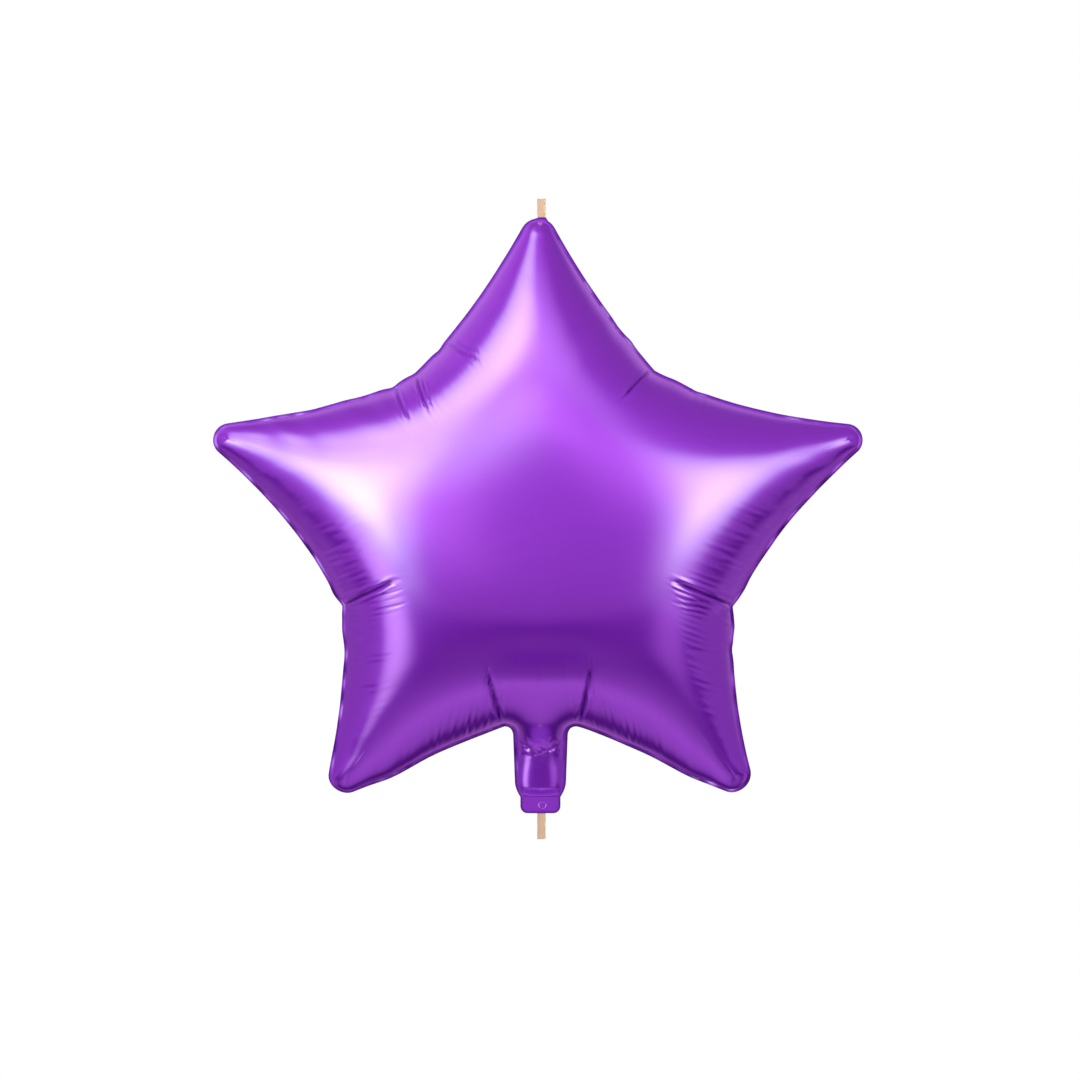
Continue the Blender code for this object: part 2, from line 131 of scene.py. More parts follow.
# Creases, mostly run in from the seam's inner corners: start, end, depth, half width
CREASES = (
    # lower left corner
    ((-0.1349, -0.0490), (-0.0980, -0.0319), 0.0018, 0.0024),
    ((-0.1116, -0.0437), (-0.0942, -0.0382), 0.00022, 0.0013),
    ((-0.1158, -0.0483), (-0.0928, -0.0427), 0.00018, 0.0013),
    ((-0.1116, -0.0521), (-0.0915, -0.0476), 0.00035, 0.0014),
    ((-0.1144, -0.0562), (-0.0956, -0.0531), 0.00018, 0.0013),
    ((-0.1262, -0.0861), (-0.0991, -0.0819), 0.00025, 0.0016),
    ((-0.1255, -0.0896), (-0.1033, -0.0861), 0.00018, 0.0014),
    ((-0.1241, -0.1055), (-0.1109, -0.1045), 0.00025, 0.0014),
    # lower right corner
    ((0.1346, -0.0496), (0.0922, -0.0326), 0.0018, 0.0024),
    ((0.1078, -0.0431), (0.0926, -0.0382), 0.00035, 0.0014),
    ((0.1120, -0.0472), (0.0926, -0.0431), 0.00018, 0.0013),
    ((0.1134, -0.0514), (0.0933, -0.0472), 0.00028, 0.0014),
    ((0.1141, -0.0552), (0.0960, -0.0517), 0.00018, 0.0013),
    ((0.1238, -0.0806), (0.1002, -0.0792), 0.00022, 0.0016),
    ((0.1266, -0.1042), (0.1099, -0.1024), 0.00022, 0.0014),
    # either side of the tail
    ((-0.0258, -0.1292), (-0.0366, -0.0875), 0.0017, 0.0024),
    ((0.0283, -0.1292), (0.0363, -0.0868), 0.0017, 0.0024),
    # bright forked upper ends of those two
    ((-0.0352, -0.0925), (-0.0395, -0.0858), -0.00030, 0.0011),
    ((-0.0352, -0.0925), (-0.0350, -0.0850), -0.00030, 0.0011),
    ((0.0350, -0.0925), (0.0395, -0.0850), -0.00030, 0.0011),
    ((0.0350, -0.0925), (0.0345, -0.0845), -0.00030, 0.0011),
    # top right corner
    ((0.0759, 0.1128), (0.0575, 0.0927), 0.0015, 0.0020),
    ((0.1078, 0.0972), (0.1037, 0.0792), 0.0003, 0.0014),
    ((0.1141, 0.0958), (0.1106, 0.0785), 0.0003, 0.0014),
    # top left corner
    ((-0.0987, 0.1021), (-0.0887, 0.0771), 0.0009, 0.0017),
    ((-0.0835, 0.1083), (-0.0758, 0.0826), 0.0009, 0.0017),
    ((-0.0796, 0.1055), (-0.0727, 0.0840), 0.0005, 0.0014),
    ((-0.0630, 0.1309), (-0.0394, 0.1160), 0.0009, 0.0018),
    ((-0.0574, 0.1326), (-0.0404, 0.1226), 0.0006, 0.0016),
)

# Strength of the fine ripples along the seam: degrees clockwise from the top, share of full depth
RIPPLE_STRENGTH = (
    (0, 0.0), (10, 0.2), (20, 0.5), (35, 0.5), (50, 0.5), (63, 0.2), (73, 0.0),
    (80, 0.6), (95, 1.0), (109, 0.9), (114, 0.8), (132, 0.7), (138, 0.2), (141, 0.0),
    (147, 0.9), (158, 2.2), (168, 1.9), (172, 0.0), (188, 0.0), (192, 1.9), (202, 2.2),
    (213, 0.9), (218.5, 0.0), (222, 0.2), (228, 0.7), (246, 0.8), (251, 0.9), (265, 1.0),
    (280, 0.6), (287, 0.0), (297, 0.2), (310, 0.35), (325, 0.35), (340, 0.3), (350, 0.2), (360, 0.0),
)

# Filling tail: its mouth lies below the star's centre, and its sides, neck and end pad follow below that.
# Its film is flatter than the star's, over a stretch above and below the mouth, and is sealed at the pad.
TAIL_SHIFT = 0.0012
TAIL_MOUTH_DROP = 0.1410
TAIL_MOUTH_HALF_WIDTH = 0.0189
TAIL_SIDE_LENGTH = 0.0300
TAIL_LOW_HALF_WIDTH = 0.0178
TAIL_NECK_LENGTH = 0.0115
TAIL_PAD_HALF_WIDTH = 0.0139
TAIL_PAD_HEIGHT = 0.0114
TAIL_PAD_CORNER_RADIUS = 0.0050
TAIL_FILLET_REACH = 0.0061
TAIL_FILLET_RISE = 0.0073
TAIL_FULLNESS = 0.62
TAIL_NARROWING = (0.0130, 0.0080)
TAIL_SEAL_BLEND = 0.0070

# V-shaped fold across the tail: how far its upper ends lie below the mouth and from the tail's middle, how
# far down it runs from there, its depth and its half width
TAIL_FOLD_TOP = 0.0016
TAIL_FOLD_REACH = 0.0152
TAIL_FOLD_DROP = 0.0118
TAIL_FOLD_DEPTH = 0.0006
TAIL_FOLD_HALF_WIDTH = 0.0019

# Pillow of film between the two creases above the tail: half width, where it ends at its sides, how far down
# its crest and the hollow above it lie, their half heights, and the hollow's depth as a share of the crest's
PILLOW_HALF_WIDTH = (0.0220, 0.0400)
PILLOW_CREST = (0.0960, 0.0110)
PILLOW_HOLLOW = (0.0790, 0.0090)
PILLOW_HOLLOW_SHARE = 0.45

# Crumpled film where the tail leaves the star: how far down and how wide it spreads, the shortest and
# longest folds, and how many waves make them
CRUMPLE_DROP = 0.1470
CRUMPLE_REACH = (0.0140, 0.0070)
CRUMPLE_LENGTHS = (0.0028, 0.0075)
CRUMPLE_WAVES = 40
CRUMPLE_SEEDS = (3, 8)

# Shares of a crease's length between which it deepens from the seam, and fades at its inner end. The film
# stands up on both sides of it: how high, as a share of its depth, and where, in half widths. Creases of
# this depth and more get the darkest painted shade
CREASE_RISE = (-0.03, 0.10)
CREASE_FADE = (0.82, 1.05)
CREASE_LIP = 0.28
CREASE_LIP_PLACE = (1.35, 0.45)
CREASE_PAINTED_SHADE_DEPTH = 0.0014

# Inflated film and its heat-sealed seam: the power in the bulge's formula, how gently the film runs into
# the ribbon's pads, how far the top pad reaches past the ribbon's end, and the small tab on the top tip
BULGE_ROUNDNESS = 1.5
PAD_BLEND = 0.0060
TOP_PAD_BELOW_RIBBON = 0.0025
TAB_HEIGHT = 0.0007
TAB_SIDE_WALL = 0.0006
TAB_EDGE = 0.0006

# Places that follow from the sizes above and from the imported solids, whose ribbon stands a little right of
# the star's centre, and whose seam is thicker than the film's
RIBBON_RIGHT_OF_STAR = 0.0019
FRAME_SEAM_THICKNESS = 0.0008
TOP_OF_STAR = TIPS[0][1] + TIPS[0][2]
TOP_OF_TAB = TOP_OF_STAR + TAB_HEIGHT
TAIL_LOW_DROP = TAIL_MOUTH_DROP + TAIL_SIDE_LENGTH
TAIL_PAD_DROP = TAIL_LOW_DROP + TAIL_NECK_LENGTH
TAIL_END_DROP = TAIL_PAD_DROP + TAIL_PAD_HEIGHT
RIBBON_ACROSS = (HANGING_LOW.x + HANGING_HIGH.x) / 2
RIBBON_WIDTH = HANGING_HIGH.x - HANGING_LOW.x
RIBBON_THICKNESS = HANGING_HIGH.y - HANGING_LOW.y
RIBBON_SEALED_LENGTH = BALLOON_HIGH.z - HANGING_LOW.z
TOP_PAD_BOTTOM = TOP_OF_TAB - RIBBON_SEALED_LENGTH - TOP_PAD_BELOW_RIBBON
STAR_CENTRE = np.array([RIBBON_ACROSS - RIBBON_RIGHT_OF_STAR, 0.0, BALLOON_HIGH.z - TOP_OF_TAB])

# Fineness of the film's grid: steps along each side of an arm and of the tail, rings from an arm's
# middle line out to the seam, and how much closer the steps are near the inner corners
ARM_STEPS = 120
TAIL_STEPS = 160
RINGS = 28
CORNER_CROWDING = 0.60
DENSE_STEPS = 200

# Shares of the tail's middle line that its fillet, mouth, low end, neck and end face, and how far past the
# pad's upper edge that line runs
TAIL_SPINE_SHARES = (0.0, 0.72, 0.90, 0.97, 1.0)
TAIL_SPINE_PAST_PAD = 0.0035
TAIL_SPINE_DROP = TAIL_PAD_DROP + TAIL_SPINE_PAST_PAD

# Fine ripples: how many sine waves are added, their shortest and longest near the seam and further in,
# the distance over which they rise, and the shares of their reach where one set turns into the other
# and where they fade
RIPPLE_WAVES = 26
RIPPLE_LENGTHS_NEAR = (0.0036, 0.0110)
RIPPLE_LENGTHS_FAR = (0.0034, 0.0085)
RIPPLE_RISE = 0.0060
RIPPLE_TURN = (0.15, 0.60)
RIPPLE_FADE = (0.45, 1.0)
RIPPLE_SHARE_OF_ARM = 0.80
FRONT_SEEDS = (11, 23)
BACK_SEEDS = (37, 41)

# The seam's own slow wave in and out of its plane, and how far it reaches into the film. Its rings' places
# from its inner line (0) to its edge (1), and the painted shade on each, as the share of its colour and coat
# that is kept. Where the grid crosses it at a slant it is measured along the grid: the least sine of that
# slant, and how often the width is evened out
SEAM_WAVE_LENGTHS = (0.018, 0.060)
SEAM_WAVE_REACH = 0.012
SEAM_SEED = 5
SEAM_RING_SHARES = (0.32, 0.55, 1.0)
SEAM_PAINTED_SHADES = (0.80, 0.45, 0.15)
SEAM_SLANT = 0.6
SEAM_SMOOTHING = 8

# Ribbon ends: steps round and along, ribs across, and how square the section's edges are
RIBBON_AROUND = 96
RIBBON_ALONG = 40
RIBBON_RIBS = 11
RIBBON_SQUARENESS = 0.35

# Ring pressed into the tail's end: its middle right of and above the star's centre, the width and height of
# its raised line, how tall it is as a share of its width, and its fineness
RING_PLACE = (0.0026, -0.1887)
RING_LINE = 0.0011
RING_HEIGHT = 0.00022
RING_OVAL = 0.86
RING_AROUND = 72
RING_SECTION = 12

# How exactly the skin's height is solved, and the most steps that it may take
SOLVER_TOLERANCE = 1e-8
SOLVER_STEPS = 6000

# Edges that turn more than this are shaded sharp
SHARP_ANGLE = math.radians(60.0)

# Foil: the clear coat's index, the mesh layer of painted shade that says how much of the film's colour and
# coat is kept, the share of the colour that is left where the painted shade is darkest, and the noise that
# makes it hazier in some places than in others
COAT_IOR = 3.4
PAINTED_SHADE_LAYER = "film_painted_shade"
PAINTED_SHADE_DARKEST = 0.15
HAZE_NOISE_SCALE = 14.0
HAZE_SPREAD = 0.12

# Ribbon threads: how much finer they are across than along, the noise that makes them, the darkest and
# lightest share of the ribbon's colour, how much their gloss differs, and how far they stand up
THREAD_STRETCH = (1.0, 1.0, 0.04)
THREAD_NOISE_SCALE = 1800.0
THREAD_DEEP_SHARE = 0.80
THREAD_LIGHT_SHARE = 1.16
THREAD_SHEEN_SPREAD = 0.2
THREAD_HEIGHT = 0.00003

# Colours of the lamps and of the surroundings
WHITE = (1.0, 1.0, 1.0)
COOL = (0.86, 1.0, 1.0)
PALE = (0.92, 0.73, 1.0)
LILAC = (0.82, 0.45, 1.0)
VIOLET = (0.76, 0.24, 1.0)

# Soft boxes: name, degrees to the right of the camera seen from the balloon, degrees up, distance, width,
# height, how bright the middle of its face is, and its colour
LAMPS = (
    ("left_lamp", -53.0, 12.0, 2.0, 1.90, 2.40, 1.60, COOL),
    ("narrow_left_lamp", -58.0, 14.0, 2.0, 1.50, 2.20, 0.86, COOL),
    ("left_core_lamp", -57.0, 8.0, 1.9, 1.00, 1.30, 0.62, COOL),
    ("low_left_lamp", -64.0, -24.0, 2.0, 1.20, 1.00, 1.75, LILAC),
    ("upper_left_lamp", -55.0, 56.0, 2.0, 1.80, 1.80, 1.71, WHITE),
    ("near_left_lamp", -37.0, 14.0, 2.0, 1.00, 1.60, 0.50, WHITE),
    ("front_left_lamp", -20.0, 27.0, 2.2, 1.80, 1.50, 0.71, WHITE),
    ("low_front_left_lamp", -20.0, 5.0, 2.2, 1.40, 1.20, 0.75, VIOLET),
    ("top_lamp", 5.0, 56.0, 2.0, 2.20, 1.80, 0.92, LILAC),
    ("top_left_lamp", -28.0, 58.0, 2.0, 1.20, 1.20, 0.44, WHITE),
    ("right_lamp", 50.0, 9.0, 2.0, 1.90, 2.10, 1.17, PALE),
    ("narrow_right_lamp", 55.0, 10.0, 2.0, 1.50, 2.00, 1.40, COOL),
    ("front_right_lamp", 22.0, 20.0, 2.2, 1.60, 1.40, 0.66, VIOLET),
    ("low_right_lamp", 53.0, -26.0, 2.0, 1.20, 1.00, 0.58, VIOLET),
    ("bounce_lamp", 0.0, -86.0, 0.9, 2.20, 1.30, 0.60, VIOLET),
    ("back_left_lamp", -128.0, 30.0, 2.0, 1.60, 1.60, 0.40, VIOLET),
    ("low_back_left_lamp", -130.0, -32.0, 1.8, 1.60, 1.40, 0.40, VIOLET),
    ("low_back_right_lamp", 130.0, -32.0, 1.8, 1.60, 1.40, 0.55, VIOLET),
    ("low_behind_lamp", 180.0, -26.0, 1.7, 2.20, 0.90, 0.45, VIOLET),
    ("bounce_strip_lamp", 0.0, -76.0, 0.9, 1.60, 0.35, 0.16, VIOLET),
    ("low_front_lamp", 0.0, -45.0, 1.2, 1.40, 0.60, 0.19, VIOLET),
    ("left_strip_lamp", -50.0, 2.0, 2.0, 0.60, 0.90, 0.75, COOL),
    ("right_strip_lamp", 47.0, 0.0, 2.0, 0.60, 0.80, 0.35, COOL),
    ("centre_lamp", 0.0, 30.0, 2.2, 1.20, 1.00, 0.80, VIOLET),
    ("behind_left_lamp", -160.0, 22.0, 2.2, 1.50, 1.60, 0.45, LILAC),
    ("behind_right_lamp", 158.0, 16.0, 2.2, 1.50, 1.80, 0.45, LILAC),
)

# The surroundings' even glow, the floor's colour in reflections, its half width and its roughness
WORLD_GLOW = 0.31
FLOOR_IN_REFLECTIONS = (0.01, 0.01, 0.01)
FLOOR_REACH = 3.0
FLOOR_ROUGHNESS = 0.8

# Middle of the picture, where the camera and the soft boxes point, and the factor that makes the middle of
# a soft box's face 1: a parabola's 4 across, times 4 up
PICTURE_MIDDLE = (-0.0010, 0.0, -0.2370)
FACE_PEAK = 16.0

# Fill light on both faces of a ribbon end: its radius there is a share of the bare ribbon's length
RIBBON_FILL_BEARINGS = (("front", 55.0), ("back", -125.0))
RIBBON_FILL_DISTANCE = 1.2
RIBBON_FILL_POWER = 34.0
RIBBON_FILL_COLOUR = (0.48, 1.0, 0.34)
RIBBON_FILL_SPREAD = 0.56
RIBBON_FILL_BLEND = 0.3


def smooth_step(values, low, high):
    """0 below low, 1 above high, and an even S-shaped rise between them."""
    share = np.clip((np.asarray(values, float) - low) / (high - low), 0.0, 1.0)
    return share * share * (3.0 - 2.0 * share)


def bowed_edge(start, bow, end):
    """Close points of a quadratic curve from start to end, pulled towards bow: with a share t of the way,
    (1 - t) ** 2 * start + 2 * t * (1 - t) * bow + t ** 2 * end."""
    share = np.linspace(0.0, 1.0, DENSE_STEPS)[:, None]
    start, bow, end = np.array([start, bow, end])
    return (1 - share) ** 2 * start + 2 * share * (1 - share) * bow + share ** 2 * end


def short_arc(centre, radius, start, end):
    """Close points on a circle, the short way round from start to end: the centre plus the radius times the
    cosine and sine of even angles."""
    first = math.atan2(start[1] - centre[1], start[0] - centre[0])
    last = math.atan2(end[1] - centre[1], end[0] - centre[0])
    turn = (last - first + math.pi) % (2 * math.pi) - math.pi
    angles = first + turn * np.linspace(0.0, 1.0, DENSE_STEPS)
    return np.column_stack([centre[0] + radius * np.cos(angles), centre[1] + radius * np.sin(angles)])


def tangent_point(bow, tip, side):
    """Where the line from bow touches the tip's circle, on its left (-1) or right (+1) side."""
    towards = np.array(tip[:2]) - bow
    distance = math.hypot(*towards)
    angle = math.atan2(towards[1], towards[0]) + side * math.asin(tip[2] / distance)
    reach = math.sqrt(distance ** 2 - tip[2] ** 2)
    return bow + reach * np.array([math.cos(angle), math.sin(angle)])


def lengths_along(points):
    """Distance along a line of points from its first point to each."""
    return np.concatenate([[0.0], np.cumsum(np.hypot(*np.diff(points, axis=0).T))])


def arm_side(corner, bow, tip, side):
    """Close points from an inner corner, along the bowed edge and round the tip to the arm's apex, and
    the length of the bowed part."""
    centre = np.array(tip[:2])
    touch = tangent_point(np.array(bow), tip, side)
    apex = centre + tip[2] * centre / math.hypot(*centre)
    edge = bowed_edge(corner, bow, touch)
    return np.vstack([edge, short_arc(centre, tip[2], touch, apex)[1:]]), lengths_along(edge)[-1]


def tail_side():
    """Close points from the tail's right-hand fillet down its side to the middle of its end, and the
    distances along it to the mouth, the low end of the sides, the pad and the end."""
    fillet_drop = TAIL_MOUTH_DROP - TAIL_FILLET_RISE
    mouth = (TAIL_MOUTH_HALF_WIDTH, -TAIL_MOUTH_DROP)
    low = (TAIL_LOW_HALF_WIDTH, -TAIL_LOW_DROP)
    pad = (TAIL_PAD_HALF_WIDTH, -TAIL_PAD_DROP)
    corner = np.array([TAIL_PAD_HALF_WIDTH - TAIL_PAD_CORNER_RADIUS, TAIL_PAD_CORNER_RADIUS - TAIL_END_DROP])
    parts = (
        bowed_edge((TAIL_MOUTH_HALF_WIDTH + TAIL_FILLET_REACH, -fillet_drop),
                   (TAIL_MOUTH_HALF_WIDTH, -fillet_drop), mouth),
        np.array([mouth, low]),
        bowed_edge(low, (TAIL_LOW_HALF_WIDTH, (low[1] + pad[1]) / 2), pad),
        short_arc(corner, TAIL_PAD_CORNER_RADIUS, corner + (TAIL_PAD_CORNER_RADIUS, 0),
                  corner - (0, TAIL_PAD_CORNER_RADIUS)),
        np.array([(0.0, -TAIL_END_DROP)]),
    )
    points = parts[0]
    marks = [0.0, lengths_along(points)[-1]]
    for part in parts[1:]:
        points = np.vstack([points, part])
        marks.append(lengths_along(points)[-1])
    return points + (TAIL_SHIFT, 0.0), (*marks[:4], marks[-1])


def crowded_points(points, steps):
    """Points spread along a close line, nearer each other towards its start, and their distances along it:
    the whole length times t * (1 - CORNER_CROWDING * (1 - t)) for even steps t."""
    along = lengths_along(points)
    share = np.arange(steps + 1) / steps
    where = along[-1] * share * (1 - CORNER_CROWDING * (1 - share))
    spread = [np.interp(where, along, points[:, axis]) for axis in range(2)]
    return np.column_stack(spread), where


def star_lobes():
    """For each arm and the tail, clockwise from the top: its two sides from corner to apex, and its
    middle line from the star's centre, step by step."""
    tail, tail_marks = tail_side()
    mirrored_tail = tail * (-1, 1) + (2 * TAIL_SHIFT, 0)
    corners = (
        (CORNER_TOP_LEFT, CORNER_TOP_RIGHT),
        (CORNER_TOP_RIGHT, CORNER_LOW_RIGHT),
        (CORNER_LOW_RIGHT, tail[0]),
        (mirrored_tail[0], CORNER_LOW_LEFT),
        (CORNER_LOW_LEFT, CORNER_TOP_LEFT),
    )
    lobes = []
    for arm, (tip, (before, after)) in enumerate(zip(TIPS, corners)):
        first, first_edge = arm_side(before, BOWS[2 * arm - 1], tip, 1)
        second, second_edge = arm_side(after, BOWS[2 * arm], tip, -1)
        first, first_along = crowded_points(first, ARM_STEPS)
        second, second_along = crowded_points(second, ARM_STEPS)
        reach = (np.minimum(first_along / first_edge, 1) + np.minimum(second_along / second_edge, 1)) / 2
        lobes.append((first, second, reach[:, None] * np.array(tip[:2])))
    right, along = crowded_points(tail, TAIL_STEPS)
    left, _ = crowded_points(mirrored_tail, TAIL_STEPS)
    reach = np.interp(along, tail_marks, TAIL_SPINE_SHARES)
    lobes.insert(3, (right, left, reach[:, None] * np.array([TAIL_SHIFT, -TAIL_SPINE_DROP])))
    return lobes


def star_seam():
    """The seam's outer line as a clockwise loop, the points of the middle lines, and for each point of
    the loop the number of the middle point that it faces."""
    loop = []
    facing = []
    middle = [np.zeros((1, 2))]
    count = 1
    for first, second, spine in star_lobes():
        is_new = np.any(np.diff(spine, axis=0) != 0.0, axis=1)
        numbers = np.concatenate([[0], count - 1 + np.cumsum(is_new)])
        loop += [first[:-1], second[:0:-1]]
        facing += [numbers[:-1], numbers[:0:-1]]
        middle.append(spine[1:][is_new])
        count += is_new.sum()
    loop = np.vstack(loop)
    return loop + scallop_shift(loop), np.vstack(middle), np.concatenate(facing)


def scallop_shift(points):
    """How far the scallops move each point of the seam, straight out from the star's centre: the sum of
    amount * exp(-((bearing - place) / half_width) ** 2)."""
    bearing = bearing_of(points)
    shift = np.zeros(len(points))
    for place, half_width, amount in SCALLOPS:
        shift += amount * np.exp(-((bearing - place) / half_width) ** 2)
    return points / np.hypot(points[:, 0], points[:, 1])[:, None] * shift[:, None]


def bearing_of(points):
    """Degrees clockwise from the top, seen from the star's centre."""
    return np.degrees(np.arctan2(points[:, 0], points[:, 1])) % 360.0


def tail_folds():
    """The two halves of the V-shaped fold where the tail meets the star."""
    valley = (TAIL_SHIFT, -TAIL_MOUTH_DROP - TAIL_FOLD_TOP - TAIL_FOLD_DROP)
    shoulder = -TAIL_MOUTH_DROP - TAIL_FOLD_TOP
    return tuple(((TAIL_SHIFT + side * TAIL_FOLD_REACH, shoulder), valley, TAIL_FOLD_DEPTH,
                  TAIL_FOLD_HALF_WIDTH) for side in (-1, 1))


def crease_depth(points):
    """Depth of the creases at each point: depth * (1 - a) ** 2 within a half width of a crease's line, where
    a is the distance from it in half widths, and a low lip just outside that. Both fade at its ends."""
    depth_here = np.zeros(len(points))
    for start, end, depth, half_width in CREASES + tail_folds():
        run = np.array(end) - start
        length = math.hypot(*run)
        direction = run / length
        offset = points - start
        share = (offset @ direction) / length
        across = np.abs(offset @ np.array([direction[1], -direction[0]])) / half_width
        valley = np.clip(1.0 - across, 0.0, 1.0) ** 2
        lip = CREASE_LIP * np.exp(-((across - CREASE_LIP_PLACE[0]) / CREASE_LIP_PLACE[1]) ** 2)
        ends = smooth_step(share, *CREASE_RISE) * (1.0 - smooth_step(share, *CREASE_FADE))
        depth_here += depth * ends * (valley - lip)
    return depth_here


def random_waves(along, around, shortest, longest, seed):
    """Irregular ripples round a loop, about 1 high: the sum of sin(2 * pi * cycles * along / around + start)
    over seeded cycles and starts, divided by the square root of half their number."""
    random = np.random.default_rng(seed)
    cycles = random.integers(round(around / longest), round(around / shortest), RIPPLE_WAVES)
    starts = random.uniform(0, 2 * math.pi, RIPPLE_WAVES)
    turns = 2 * math.pi * cycles[:, None] * along / around + starts[:, None]
    return np.sin(turns).sum(axis=0) / math.sqrt(RIPPLE_WAVES / 2)


def slopes_product(flat, triangles):
    """For each triangle its area, and the nine products of its corners' slopes times that area."""
    corners = flat[triangles]
    spans = np.roll(corners, -1, axis=1) - np.roll(corners, 1, axis=1)
    area = 0.5 * np.abs(spans[:, 0, 0] * spans[:, 1, 1] - spans[:, 0, 1] * spans[:, 1, 0])
    return area, np.einsum("tik,tjk->tij", spans, spans) / (4.0 * area)[:, None, None]


def membrane(flat, triangles, is_held):
    """Height of a stretched skin over the flat pattern under even pressure, held at the seam.

    Linear triangles, solved by conjugate gradients: each step multiplies by the matrix that the edges
    carry, and divides by its diagonal."""
    count = len(flat)
    area, products = slopes_product(flat, triangles)
    load = np.bincount(triangles.ravel(), np.repeat(2.0 * area / 3.0, 3), count)
    pairs = triangles[:, [0, 1, 1, 2, 2, 0]].reshape(-1, 2)
    weights = products[:, [0, 1, 2], [1, 2, 0]].ravel()
    low, high = pairs.min(axis=1), pairs.max(axis=1)
    keys, numbers = np.unique(low * count + high, return_inverse=True)
    weights = np.bincount(numbers, weights)
    low, high = keys // count, keys % count
    diagonal = -(np.bincount(low, weights, count) + np.bincount(high, weights, count))
    free = ~is_held

    def times(values):
        product = diagonal * values
        product += np.bincount(low, weights * values[high], count)
        product += np.bincount(high, weights * values[low], count)
        return product * free

    height = np.zeros(count)
    rest = load * free
    eased = rest / diagonal
    direction = eased.copy()
    size = rest @ eased
    target = size * SOLVER_TOLERANCE ** 2
    for _ in range(SOLVER_STEPS):
        moved = times(direction)
        step = size / (direction @ moved)
        height += step * direction
        rest -= step * moved
        eased = rest / diagonal
        new_size = rest @ eased
        if new_size < target:
            break
        direction = eased + new_size / size * direction
        size = new_size
    else:
        raise RuntimeError("the skin's height did not settle")
    return height


def ring_triangles(inner, outer):
    """Triangles between two closed rings of point numbers, counter-clockwise as seen from the front.
    Where the inner ring turns back on itself at an arm's end, only one triangle of the two is left."""
    inner_next = np.roll(inner, -1)
    outer_next = np.roll(outer, -1)
    near = np.column_stack([inner, inner_next, outer_next])[inner != inner_next]
    far = np.column_stack([inner, outer_next, outer])
    return np.vstack([near, far])


def tab_lift(points):
    """How far the small square tab on the top tip raises the seam's edge, where the ribbon leaves it: up to
    the tab's top within its half width, with an even step down at each side."""
    beside = np.abs(points[:, 0] - RIBBON_RIGHT_OF_STAR)
    half_width = RIBBON_WIDTH / 2 + TAB_SIDE_WALL
    on_tab = 1.0 - smooth_step(beside, half_width - TAB_EDGE, half_width + TAB_EDGE)
    on_tab *= points[:, 1] > TIPS[0][1]
    return np.column_stack([np.zeros(len(points)), (TOP_OF_TAB - points[:, 1]) * on_tab])


def film_grid(seam_width):
    """The flat pattern as a grid of two parameters: places along the seam, and rings from the arms' middle
    lines (0) out to the seam's inner line (1), spaced as the sine of even steps up to a right angle.

    Each ring's point lies on the straight line from a middle point to its point of the seam. Two more
    rings make the seam itself. Returns the points, the triangles of film and of seam, which points the
    film is held at, and each point's place along the seam and distance in from the seam's inner line."""
    seam, middle, facing = star_seam()
    count = len(seam)
    outward = seam - middle[facing]
    reach = np.hypot(outward[:, 0], outward[:, 1])
    outward /= reach[:, None]
    along = np.roll(seam, -1, axis=0) - np.roll(seam, 1, axis=0)
    along /= np.hypot(along[:, 0], along[:, 1])[:, None]
    squareness = np.clip(outward[:, 1] * along[:, 0] - outward[:, 0] * along[:, 1], SEAM_SLANT, 1.0)
    width = smoothed(seam_width / squareness, SEAM_SMOOTHING)
    inner = seam - outward * width[:, None]
    reach -= width

    rings = [middle]
    insets = [np.zeros(len(middle)) + reach.max()]
    places = [np.zeros(len(middle), int)]
    for ring in range(1, RINGS + 1):
        share = math.sin(math.pi / 2 * ring / RINGS)
        rings.append(middle[facing] + share * (inner - middle[facing]))
        insets.append((1.0 - share) * reach)
    film_count = len(middle) + RINGS * count
    outer = seam + tab_lift(seam)
    for share in SEAM_RING_SHARES:
        rings.append(inner + share * (outer - inner))
        insets.append(np.zeros(count))
    ring_count = RINGS + len(SEAM_RING_SHARES)
    places += [np.arange(count)] * ring_count
    first = len(middle)
    numbers = [facing] + [first + ring * count + np.arange(count) for ring in range(ring_count)]
    triangles = [ring_triangles(low, high) for low, high in zip(numbers[:-1], numbers[1:])]
    is_held = np.arange(film_count) >= film_count - count
    return {
        "flat": np.vstack(rings),
        "film": np.vstack(triangles[:RINGS]),
        "seam": np.vstack(triangles[RINGS:]),
        "is_held": is_held,
        "place": np.concatenate(places),
        "inset": np.concatenate(insets),
        "rim": numbers[-1],
        "seam_rings": numbers[RINGS + 1:],
        "outline": seam,
        "reach": reach,
    }


def smoothed(values, times):
    """A closed loop of values, each averaged with its two neighbours, a number of times."""
    for _ in range(times):
        values = (np.roll(values, 1) + 2 * values + np.roll(values, -1)) / 4
    return values


def in_tail(flat):
    """Which points lie between the tail's two sides, however far up."""
    return np.abs(flat[:, 0] - TAIL_SHIFT) < TAIL_MOUTH_HALF_WIDTH + TAIL_FILLET_REACH


